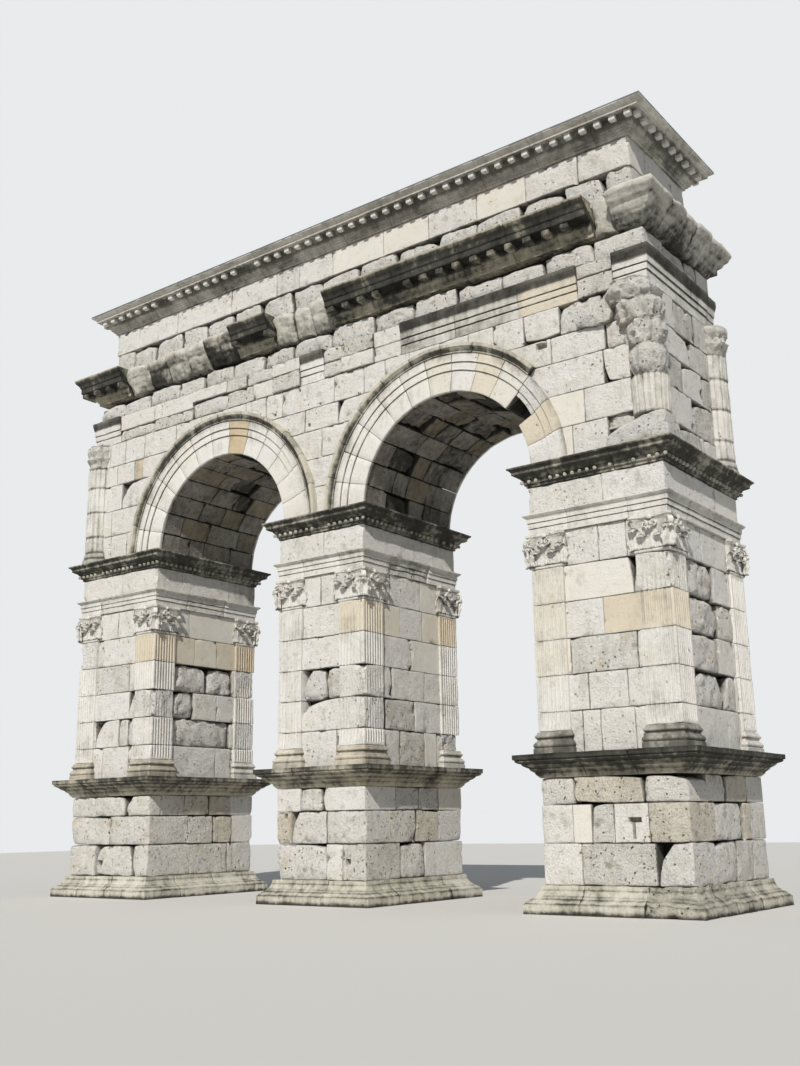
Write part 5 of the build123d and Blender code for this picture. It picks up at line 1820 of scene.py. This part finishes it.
class STONEARCH_OT_capitals(bpy.types.Operator):
    """Leaf capitals: bells, hollow-sided slabs, and carving set in place by Geometry Nodes."""

    bl_idname = "stone_arch.capitals"
    bl_label = "Capitals"

    def execute(self, context):
        shapes = {"leaves": pattern_object("carved_leaf", *leaf_shape()),
                  "scrolls": pattern_object("carved_scroll", *scroll_shape()),
                  "bosses": pattern_object("carved_boss", *ball_shape())}
        tree = placed_carving_tree()
        for pier, x, half_x, _, rng, pile in piers(context, 60):
            for post in posts(half_x):
                post_moulding(pile, x, post, CAPITAL_HALF, SHAFT_TOP + GAP, BELL_OUTLINE, rng, worn=0.2,
                              tint=0.14, grime=0.12, dense=0.06)
                _, face, at_x, at_y = post
                plans = [hollow_square(half) for half in (0.36, 0.395, 0.40, 0.42, 0.42)]
                heights = [CAPITAL_TOP - h for h in (0.112, 0.07, 0.055, 0.05, 0.003)]
                stack(pile, (x + at_x, at_y), plans, heights, rng, 0.12 if face < 0 else 0.05)
            show(pile, pier + "_capital_stones", pale_stone(), [pier + "_capitals"])
            for label, places in zip(shapes, capital_carving(x, half_x, rng)):
                made = grow(tree, seed_points(pier + "_" + label, places),
                            {"Shape": shapes[label], "Size": 1.0, "Stone": pale_stone()})
                # Undersides of leaves, scrolls and bosses darkened: painted shade
                weather(made, rng, rough=0.007, tint=0.10, grime=0.02, under=1.0, lost=1.2)
                show(made, pier + "_capital_" + label, pale_stone(), [pier + "_capitals"])
        for shape in shapes.values():
            bpy.data.objects.remove(shape)
        return {"FINISHED"}


class STONEARCH_OT_pier_architraves(bpy.types.Operator):
    """Three-stepped architraves of the piers."""

    bl_idname = "stone_arch.pier_architraves"
    bl_label = "Pier architraves"

    def execute(self, context):
        looks = {"middle": {2: dict(worn=0.75, share=0.8)}, "left": {0: dict(worn=0.5), 2: dict(worn=0.4)}}
        for side, x, half_x, _, rng, pile in piers(context, 70):
            pier_moulding(pile, x, half_x, ARCHITRAVE_JOINTS[side], CAPITAL_TOP + GAP,
                          ARCHITRAVE_TOP - CAPITAL_TOP - 2 * GAP, with_quirks(ARCHITRAVE_PROFILE), 0.15, rng,
                          looks.get(side), worn=0.06, tint=0.12, grime=0.08, rough=0.003, under=0.25,
                          dense=0.05)
            show(pile, side + "_architrave_stones", pale_stone(), [side + "_architrave"])
        return {"FINISHED"}


class STONEARCH_OT_bands(bpy.types.Operator):
    """Plain course over each architrave."""

    bl_idname = "stone_arch.bands"
    bl_label = "Bands"

    def execute(self, context):
        for side, x, half_x, settings, rng, pile in piers(context, 80):
            storey(pile, x, half_x + 0.042, PIER_DEPTH + 0.042,
                   [(ARCHITRAVE_TOP, BAND_TOP, *BAND_STONES[side], {})], rng, 1.1, settings.chips)
            show(pile, side + "_band_stones", pale_stone(), [side + "_band"])
        return {"FINISHED"}


class STONEARCH_OT_impost_cornices(bpy.types.Operator):
    """Black impost cornices with a row of small bosses."""

    bl_idname = "stone_arch.impost_cornices"
    bl_label = "Impost cornices"

    def execute(self, context):
        shape = pattern_object("impost_boss", *ball_shape(4, 6, 0.040))
        for number, (side, x, half_x, settings, rng, pile) in enumerate(piers(context, 90)):
            pier_moulding(pile, x, half_x, ([x - 0.5, x + 0.45], [-0.6, 0.5]), BAND_TOP + GAP,
                          SPRINGING - BAND_TOP - 2 * GAP, IMPOST_PROFILE, 0.338, rng, worn=0.10, tint=0.30,
                          grime=0.50, rough=0.005, under=0.20, dense=0.04)
            show(pile, side + "_impost_stones", crusted_stone(),
                 [side + "_impost_cornice"])
            out, z = 0.125, BAND_TOP + 0.10
            a, b = half_x + out, PIER_DEPTH + out
            corners = [(x - a, -b, z), (x + a, -b, z), (x + a, b, z), (x - a, b, z)]
            repeat_row(side + "_impost_bosses", shape, zip(corners, corners[1:] + corners[:1]),
                       settings.boss_pitch, 0.12, number + 1, crusted_stone(), "weathered_limestone",
                       [side + "_impost_cornice"], rng, rough=0.005, tint=0.2, grime=0.30)
        bpy.data.objects.remove(shape)
        return {"FINISHED"}


class STONEARCH_OT_arches(bpy.types.Operator):
    """Wedge stones with their stepped bands, and the dark hood over them."""

    bl_idname = "stone_arch.arches"
    bl_label = "Arches"

    def execute(self, context):
        second, third = ARCH_FACE + 0.030, ARCH_FACE + 0.060
        # Third values darken a thin line at each step, painted shade with dirt, and the soffit towards the
        # vault
        ring = [(ARCH_RADIUS, ARCH_FACE - RING_DEPTH, 0.45), (ARCH_RADIUS, ARCH_FACE - 0.012, 0.05),
                (ARCH_RADIUS + 0.012, ARCH_FACE, 0.0), (ARCH_RING - 0.016, ARCH_FACE, 0.0),
                (ARCH_RING, ARCH_FACE - 0.014, 0.6), (ARCH_RING, second, 0.2),
                (ARCH_RING + 0.01, second, 0.0), (ARCH_RING + 0.154, second, 0.0),
                (ARCH_RING + 0.17, second - 0.014, 0.6), (ARCH_RING + 0.17, third, 0.2),
                (ARCH_RING + 0.18, third, 0.0), (HOOD_INNER + 0.01, third, 0.3),
                (HOOD_INNER + 0.02, 1.30, 0.3)]
        bands_only = [(ARCH_RING - 0.10, 1.30, 0.5)]
        bands_only += [(max(r, ARCH_RING - 0.10), p, g) for r, p, g in ring[2:]]
        # Third values darken the grooves of the hood, painted shade with dirt, and lighten its outer edge
        hood = [(HOOD_INNER, 1.45, 0.5), (HOOD_INNER, third + 0.010, 0.5),
                (HOOD_INNER + 0.03, third + 0.028, 0.0), (HOOD_INNER + 0.045, third + 0.012, 0.5),
                (HOOD_INNER + 0.10, third + 0.025, 0.35), (HOOD_INNER + 0.13, third + 0.055, 0.15),
                (HOOD_INNER + 0.14, third + 0.068, 0.0), (HOOD_OUTER, third + 0.070, -0.1),
                (HOOD_OUTER, 1.45, 0.2)]
        for number, (side, centre) in enumerate(ARCH_CENTRES.items()):
            for face, label in ((-1, "front"), (1, "back")):
                _, rng, stones = begin(context, 100 + 10 * number + face)
                broken = face < 0 and side == "right"
                for i in range(WEDGES):
                    tint, grime = 0.10, 0.10
                    if face < 0:
                        tint, grime = ARCH_LOOKS[side].get(i, (float(rng.uniform(0.02, 0.16)), 0.05))
                    missing = broken and i == MISSING_WEDGE
                    arch_stone(stones, centre, face, i * WEDGE + 0.12, (i + 1) * WEDGE - 0.12,
                               bands_only if missing else ring, rng,
                               worn=0.35 if missing else float(rng.uniform(0.02, 0.12)), tint=tint,
                               grime=grime)
                hoods = Pile()
                first = 42.0 if broken else 0.0
                count = int(round((180 - first) / 15))
                span = (180 - first) / count
                for i in range(count):
                    start = first + i * span
                    worn = float(rng.uniform(0.02, 0.2))
                    crown = math.sin(math.radians(first + (i + 0.5) * span))
                    arch_stone(hoods, centre, face, start + 0.1, first + (i + 1) * span - 0.1, hood, rng,
                               worn=worn, tint=0.25, grime=0.16 + 0.16 * crown * float(rng.uniform(0.3, 1.0)),
                               rough=0.004, dense=0.05)
                name = side + "_" + label
                show(stones, name + "_arch_stones", pale_stone(), [name + "_archivolt"])
                show(hoods, name + "_hood_stones", crusted_stone(), [name + "_archivolt"])
        return {"FINISHED"}


class STONEARCH_OT_vaults(bpy.types.Operator):
    """Blocks of the two barrels between the front and back rings."""

    bl_idname = "stone_arch.vaults"
    bl_label = "Vaults"

    def execute(self, context):
        inner_face = ARCH_FACE - RING_DEPTH
        for number, (side, centre) in enumerate(ARCH_CENTRES.items()):
            _, rng, pile = begin(context, 130 + number)
            for i in range(WEDGES):
                marks = [-inner_face]
                while marks[-1] < inner_face - 0.55:
                    marks.append(marks[-1] + float(rng.uniform(0.45, 1.15)))
                marks = [m for m in marks if m < inner_face - 0.3] + [inner_face]
                if side == "right" and i == MISSING_WEDGE:
                    marks[0] += 0.5
                for near, far in zip(marks[:-1], marks[1:]):
                    finish = str(rng.choice(["vault", "vault", "vault", "brown"]))
                    broken = bool(rng.uniform() < 0.22)
                    grime = 0.30 + float(rng.uniform(-0.08, 0.15)) + 0.2 * broken
                    back = float(rng.uniform(0.03, 0.09)) if broken else float(rng.uniform(0, 0.015))
                    wear = dict(edge=0.02, rough=0.010, slump=0.06)
                    if broken:
                        wear = dict(edge=0.06, rough=0.030, slump=0.5)
                    stone(pile, vault_place(centre, i * WEDGE, near),
                          (math.radians(WEDGE) * ARCH_RADIUS, far - near, 0.34), finish, rng, step=0.10,
                          grime=grime, back=back, chips=2.0, joint=0.007, **wear)
            show(pile, side + "_vault_stones", vault_stone(), [side + "_vault"])
        return {"FINISHED"}


class STONEARCH_OT_upper_walls(bpy.types.Operator):
    """Spandrels and end walls over the piers."""

    bl_idname = "stone_arch.upper_walls"
    bl_label = "Upper walls"

    def execute(self, context):
        settings, rng, left_pile = begin(context, 140)
        piles = {"left": left_pile, "middle": Pile(), "right": Pile()}
        outer, inner = HOOD_OUTER - 0.03, HOOD_INNER
        common = dict(holes=UPPER_HOLES, chips=settings.chips)

        def single_stones(face, cuts, bottom, top, pulls, **more):
            """A course laid stone by stone, each in the pile of the part of the wall that it is in."""
            for i in range(0, len(cuts) - 2, 2):
                x = (cuts[i] + cuts[i + 2]) / 2 * (1 if face == "front" else -1)
                part = "left" if x < -ARCH_X else "right" if x > ARCH_X else "middle"
                course(piles[part], face, (0, 0), UPPER_Y, bottom, top, cuts[i:i + 3], rng, radius=outer,
                       pulls={0: pulls[i // 2]} if i // 2 in pulls else None, **more)

        for row, (left_parts, right_part) in enumerate(UPPER_STONES):
            bottom, top = UPPER_LEVELS[row:row + 2]
            for part, cuts in enumerate(left_parts):
                single_stones("front", cuts, bottom, top, UPPER_PULLS.get((row, part), {}), **common)
            course(piles["right"], "front", (0, 0), UPPER_Y, bottom, top, right_part, rng,
                   radius=inner if row < 3 else outer, pulls=UPPER_PULLS.get((row, "right")), **common)
            single_stones("back", random_cuts(-UPPER_SPAN_X, UPPER_SPAN_X, rng, 0.95), bottom, top, {})
        for row, (cuts, pulls) in enumerate(zip(END_STONES, END_PULLS)):
            bottom, top = END_LEVELS[row:row + 2]
            course(piles["right"], "right", (0, 0), UPPER_X, bottom, top, cuts, rng, pulls=pulls,
                   chips=settings.chips)
            course(piles["left"], "left", (0, 0), UPPER_X, bottom, top,
                   random_cuts(-WALL_SPAN_Y, WALL_SPAN_Y, rng, 1.1), rng)
        for side, pile in piles.items():
            show(pile, side + "_upper_stones", pale_stone(), [side + "_upper_wall"])
        return {"FINISHED"}


class STONEARCH_OT_corner_columns(bpy.types.Operator):
    """Ruined engaged columns at the corners of the upper storey."""

    bl_idname = "stone_arch.corner_columns"
    bl_label = "Corner columns"

    def execute(self, context):
        settings, rng, pile = begin(context, 150)
        plinth, base = SPRINGING + 0.17, SPRINGING + 0.33
        for side, face in ((-1, -1), (-1, 1), (1, -1), (1, 1)):
            if (side, face) == (1, -1):
                ruined_corner(pile, rng, WALL_TOP, settings.chips)
                continue
            for low_z, high_z, radii in ((SPRINGING, plinth, (0.44, 0.44)), (plinth, base, (0.43, 0.40))):
                column_drum(pile, side, face, low_z, high_z, radii, rng, worn=0.6, lump=0.012, grime=0.3)
            for low_z, high_z in ((base, 8.80), (8.80, 9.45), (9.45, 10.10), (10.10, 10.63)):
                column_drum(pile, side, face, low_z, high_z, (0.39, 0.385), rng, flutes=1.0,
                            worn=float(rng.uniform(0.1, 0.5)), lump=0.010)
            column_drum(pile, side, face, 10.63, WALL_TOP, (0.37, 0.35, 0.42, 0.36, 0.44, 0.42), rng,
                        worn=0.9, lump=0.03, crumble=0.035)
        show(pile, "corner_column_drums", pale_stone(), ["corner_columns"])
        return {"FINISHED"}


class STONEARCH_OT_great_architrave(bpy.types.Operator):
    """Architrave under the frieze: whole in some lengths, worn to stumps in others."""

    bl_idname = "stone_arch.great_architrave"
    bl_label = "Great architrave"

    def execute(self, context):
        settings, rng, pile = begin(context, 160)
        bottom, top = WALL_TOP, GREAT_ARCHITRAVE_TOP
        height = top - bottom
        marks = run_marks(UPPER_X, UPPER_Y, ARCHITRAVE_RUNS, [(1.20, dict(worn=0.7))], 1.3, rng,
                          dict(worn=0.3))
        black_crown = [(0.0, 0.06), (0.62 * height, 0.16), (0.72 * height, 0.95), (0.97 * height, 0.85)]
        marks = [(mark, dict(look, shade=black_crown)
                  if mark > UPPER_X + 7.1 and look["worn"] < 0.1 else look)
                 for mark, look in marks]
        outline = scaled(with_quirks(GREAT_ARCHITRAVE_PROFILE, depth=0.12), 0.085, height - 0.006)
        long_moulding(pile, marks, UPPER_X, UPPER_Y, bottom + 0.003, outline, rng, worn=0.1, tint=0.10,
                      grime=0.08, rough=0.004, inner=0.35, under=0.5, dense=0.05,
                      shade=[(0.0, 0.0), (0.68 * height, 0.0), (0.74 * height, 0.78), (0.97 * height, 0.62)])
        slab(pile, (-UPPER_X + 0.03, -UPPER_Y + 0.08, top - 0.12),
             (UPPER_X - 0.03, UPPER_Y - 0.03, top - 0.01), 0.2, 0.2)
        # Broken faces of the lost lengths, in two layers
        for (left, look), (right, _) in zip(ARCHITRAVE_RUNS[:-1], ARCHITRAVE_RUNS[1:]):
            if look["worn"] >= LOST_WEAR:
                middle = bottom + height * float(rng.uniform(0.4, 0.6))
                for low_z, high_z in ((bottom, middle), (middle, top)):
                    cuts = random_cuts(left, right, rng, 0.95, ("white", "white", "worn", "pitted"))
                    course(pile, "front", (0, 0), UPPER_Y + 0.02 + float(rng.choice([0, 0, 0.04])), low_z,
                           high_z, cuts, rng, chips=settings.chips)
        show(pile, "great_architrave_stones", pale_stone(), ["great_architrave"])
        return {"FINISHED"}


class STONEARCH_OT_frieze(bpy.types.Operator):
    """Rough, rounded blocks between architrave and cornice."""

    bl_idname = "stone_arch.frieze"
    bl_label = "Frieze"

    def execute(self, context):
        settings, rng, pile = begin(context, 170)
        row = (GREAT_ARCHITRAVE_TOP, FRIEZE_TOP, FRIEZE_STONES, [-0.7, "boulder", 0.4, "worn", 0.95],
               dict(drop=0.16))
        storey(pile, 0, FRIEZE_X, FRIEZE_Y, [row], rng, 1.1, settings.chips)
        show(pile, "frieze_stones", pale_stone(), ["frieze"])
        return {"FINISHED"}


class STONEARCH_OT_main_cornice(bpy.types.Operator):
    """Great cornice: whole lengths with brackets, and broken stumps between them."""

    bl_idname = "stone_arch.main_cornice"
    bl_label = "Main cornice"

    def execute(self, context):
        settings, rng, pile = begin(context, 180)
        marks = run_marks(FRIEZE_X, FRIEZE_Y, CORNICE_RUNS, CORNICE_END, 1.2, rng, dict(worn=0.15))
        height = CORNICE_TOP - FRIEZE_TOP - 0.006
        # The shade list darkens the soffit, painted shade with crust, and lightens the foot and the
        # rain-washed top
        long_moulding(pile, marks, FRIEZE_X, FRIEZE_Y, FRIEZE_TOP + 0.003,
                      scaled(CORNICE_PROFILE, CORNICE_REACH, height), rng,
                      stump=scaled(STUMP_PROFILE, CORNICE_REACH, height), tint=0.50, grime=0.34, rough=0.006,
                      inner=0.45, under=0.30, dense=0.05,
                      shade=[(0.0, -0.12), (0.26 * height, -0.08), (0.34 * height, 0.35),
                             (0.62 * height, 0.40), (0.70 * height, 0.25), (0.90 * height, 0.20),
                             (0.96 * height, -0.20)])
        slab(pile, (-FRIEZE_X - 0.3, -FRIEZE_Y - 0.1, CORNICE_TOP - 0.12),
             (FRIEZE_X + 0.3, FRIEZE_Y + 0.3, CORNICE_TOP - 0.03), 0.2, 0.3)
        # Loose rough stones that lie on the whole lengths
        for left, right in ((0.3, 6.8), (-2.6, -1.5), (-8.2, -6.7)):
            course(pile, "front", (0, 0), 1.93, CORNICE_TOP - 0.03, CORNICE_TOP + 0.13,
                   random_cuts(left, right, rng, 0.95, ("worn", "boulder")), rng, depth=0.62, drop=0.08)
        show(pile, "main_cornice_stones", crusted_stone(), ["main_cornice"])
        out, z = 0.24 * CORNICE_REACH - 0.01, FRIEZE_TOP + 0.46 * 0.69 - 0.062
        a, b = FRIEZE_X + out, FRIEZE_Y + out
        runs = [((0.45, -b, z), (6.8, -b, z)), ((-2.55, -b, z), (-1.5, -b, z)),
                ((-8.1, -b, z), (-6.7, -b, z)), ((a - 0.1, b, z), (-a + 0.1, b, z)),
                ((-a, b - 0.1, z), (-a, -b + 0.1, z))]
        shape = pattern_object("bracket", *bevelled_block(0.17, 0.235, 0.12))
        # Brackets dark with crust and with the painted shade of the soffit
        repeat_row("main_cornice_brackets", shape, runs, settings.bracket_pitch, 0.06, settings.seed + 1,
                   crusted_stone(), "weathered_limestone", ["main_cornice"], rng, rough=0.016, tint=0.50,
                   grime=0.60)
        bpy.data.objects.remove(shape)
        return {"FINISHED"}


class STONEARCH_OT_attic(bpy.types.Operator):
    """Attic wall: a low rough course under a tall, smoother one."""

    bl_idname = "stone_arch.attic"
    bl_label = "Attic wall"

    def execute(self, context):
        settings, rng, pile = begin(context, 190)
        rows = [(CORNICE_TOP, 13.90, ATTIC_LOW, [-0.5, "worn", 0.3, "worn", 0.8], {}),
                (13.90, ATTIC_TOP, ATTIC_TALL, [-0.6, "white", 0.7], {})]
        storey(pile, 0, ATTIC_X, ATTIC_Y, rows, rng, 1.2, settings.chips)
        show(pile, "attic_stones", pale_stone(), ["attic_wall"])
        return {"FINISHED"}


class STONEARCH_OT_attic_cornice(bpy.types.Operator):
    """Crowning cornice with its row of dentils."""

    bl_idname = "stone_arch.attic_cornice"
    bl_label = "Attic cornice"

    def execute(self, context):
        settings, rng, pile = begin(context, 200)
        fronts = [(x, {}) for x in (-7.1, -5.9, -4.7, -3.4, -2.1, -0.8, 0.5, 1.8, 3.1, 4.3, 5.6, 6.9)]
        marks = run_marks(ATTIC_X, ATTIC_Y, fronts, [(-0.4, {}), (0.8, {})], 1.3, rng, {})
        outline = scaled(ATTIC_CORNICE_PROFILE, ATTIC_CORNICE_REACH, ATTIC_CORNICE_TOP - ATTIC_TOP - 2 * GAP)
        # The shade list darkens the bed mouldings and the band of the dentils: painted shade under the
        # corona, with dirt
        long_moulding(pile, marks, ATTIC_X, ATTIC_Y, ATTIC_TOP + GAP, outline, rng, worn=0.03, tint=0.30,
                      grime=0.10, rough=0.002, inner=0.45, under=0.25, dense=0.04,
                      shade=[(0.0, 0.12), (0.16, 0.20), (0.19, 0.50), (0.31, 0.50), (0.33, -0.06),
                             (0.39, -0.08)])
        show(pile, "attic_cornice_stones", pale_stone(), ["attic_cornice"])
        out, z = 0.46 * ATTIC_CORNICE_REACH - 0.01, ATTIC_TOP + 0.72 * 0.455 - 0.055
        a, b = ATTIC_X + out, ATTIC_Y + out
        runs = [((-a + 0.06, -b, z), (-2.9, -b, z)), ((-2.1, -b, z), (a - 0.06, -b, z)),
                ((a, -b + 0.08, z), (a, b - 0.08, z)), ((a - 0.06, b, z), (-a + 0.06, b, z)),
                ((-a, b - 0.08, z), (-a, -b + 0.08, z))]
        shape = pattern_object("dentil", *bevelled_block(0.13, 0.125, 0.105, 0.008))
        repeat_row("attic_cornice_dentils", shape, runs, settings.dentil_pitch, 0.03, settings.seed + 2,
                   pale_stone(), "pale_limestone", ["attic_cornice"], rng, rough=0.003, tint=0.12, grime=0.0)
        bpy.data.objects.remove(shape)
        return {"FINISHED"}


class STONEARCH_OT_capping(bpy.types.Operator):
    """Lead sheets on the roof, with a roll over each seam."""

    bl_idname = "stone_arch.capping"
    bl_label = "Roof capping"

    def execute(self, context):
        a, b, top = high("roof_capping")
        bottom = low("roof_capping").z
        pile = Pile()
        slab(pile, (-a, -b, bottom - 0.012), (a, b, top), 0.5, 0.3)
        turns = np.linspace(0, math.pi, 5)
        quads, rims = tube(2, len(turns), True)
        for i in range(1, LEAD_SHEETS):
            x = -a + 2 * a * i / LEAD_SHEETS
            roll = [(x + 0.025 * math.cos(t), y, top - 0.004 + 0.012 * math.sin(t))
                    for y in (-b + 0.02, b - 0.02) for t in turns]
            pile.add(roll, quads, rims, 0.5, 0.3)
        show(pile, "roof_lead", lead_sheet(), ["roof_capping"], smooth=30)
        return {"FINISHED"}


class STONEARCH_OT_stage(bpy.types.Operator):
    """Plain pale floor and background, soft daylight, and the camera at the photograph's angle."""

    bl_idname = "stone_arch.stage"
    bl_label = "Stage and light"

    def execute(self, context):
        scene, settings = context.scene, context.scene.stone_arch
        data = bpy.data.meshes.new("studio_floor")
        data.from_pydata([(-60, -60, 0), (60, -60, 0), (60, 60, 0), (-60, 60, 0)], [], [(0, 1, 2, 3)])
        floor = bpy.data.objects.new("studio_floor", data)
        scene.collection.objects.link(floor)
        paint = bpy.data.materials.new("studio_floor_paint")
        paint.use_nodes = True
        surface = paint.node_tree.nodes["Principled BSDF"]
        surface.inputs["Base Color"].default_value = linear("#CFCDC8")
        surface.inputs["Roughness"].default_value = 0.9
        data.materials.append(paint)
        scene.world = pale_daylight(settings.sky_strength)
        add_sun("sun", settings.sun_strength, settings.sun_softness, 23, 39, "#FFFCF7")
        add_sun("side_glow", settings.glow_strength, math.radians(80), 70, 40)
        scene.camera = photograph_camera()
        scene.view_settings.view_transform = "Standard"
        return {"FINISHED"}


PIECES = (STONEARCH_OT_cores, STONEARCH_OT_bases, STONEARCH_OT_pedestals,
          STONEARCH_OT_pedestal_cornices, STONEARCH_OT_pier_walls, STONEARCH_OT_pilasters,
          STONEARCH_OT_capitals, STONEARCH_OT_pier_architraves, STONEARCH_OT_bands,
          STONEARCH_OT_impost_cornices, STONEARCH_OT_arches, STONEARCH_OT_vaults,
          STONEARCH_OT_upper_walls, STONEARCH_OT_corner_columns, STONEARCH_OT_great_architrave,
          STONEARCH_OT_frieze, STONEARCH_OT_main_cornice, STONEARCH_OT_attic,
          STONEARCH_OT_attic_cornice, STONEARCH_OT_capping, STONEARCH_OT_stage)


class STONEARCH_PT_pieces(bpy.types.Panel):
    """Settings and pieces of the arch."""

    bl_idname = "STONEARCH_PT_pieces"
    bl_label = "Stone Arch"
    bl_space_type = "VIEW_3D"
    bl_region_type = "UI"
    bl_category = "Stone Arch"

    def draw(self, context):
        for name in StoneArchSettings.__annotations__:
            self.layout.prop(context.scene.stone_arch, name)
        for piece in PIECES:
            self.layout.operator(piece.bl_idname)


CLASSES = (StoneArchSettings,) + PIECES + (STONEARCH_PT_pieces,)


def register():
    """Add the settings, operators and panel."""
    for item in CLASSES:
        bpy.utils.register_class(item)
    bpy.types.Scene.stone_arch = bpy.props.PointerProperty(type=StoneArchSettings)


def unregister():
    """Take them away again."""
    del bpy.types.Scene.stone_arch
    for item in reversed(CLASSES):
        bpy.utils.unregister_class(item)


def main():
    """Build every piece in order."""
    register()
    bpy.ops.stone_arch.cores()
    bpy.ops.stone_arch.bases()
    bpy.ops.stone_arch.pedestals()
    bpy.ops.stone_arch.pedestal_cornices()
    bpy.ops.stone_arch.pier_walls()
    bpy.ops.stone_arch.pilasters()
    bpy.ops.stone_arch.capitals()
    bpy.ops.stone_arch.pier_architraves()
    bpy.ops.stone_arch.bands()
    bpy.ops.stone_arch.impost_cornices()
    bpy.ops.stone_arch.arches()
    bpy.ops.stone_arch.vaults()
    bpy.ops.stone_arch.upper_walls()
    bpy.ops.stone_arch.corner_columns()
    bpy.ops.stone_arch.great_architrave()
    bpy.ops.stone_arch.frieze()
    bpy.ops.stone_arch.main_cornice()
    bpy.ops.stone_arch.attic()
    bpy.ops.stone_arch.attic_cornice()
    bpy.ops.stone_arch.capping()
    bpy.ops.stone_arch.stage()


if __name__ == "__main__":
    main()
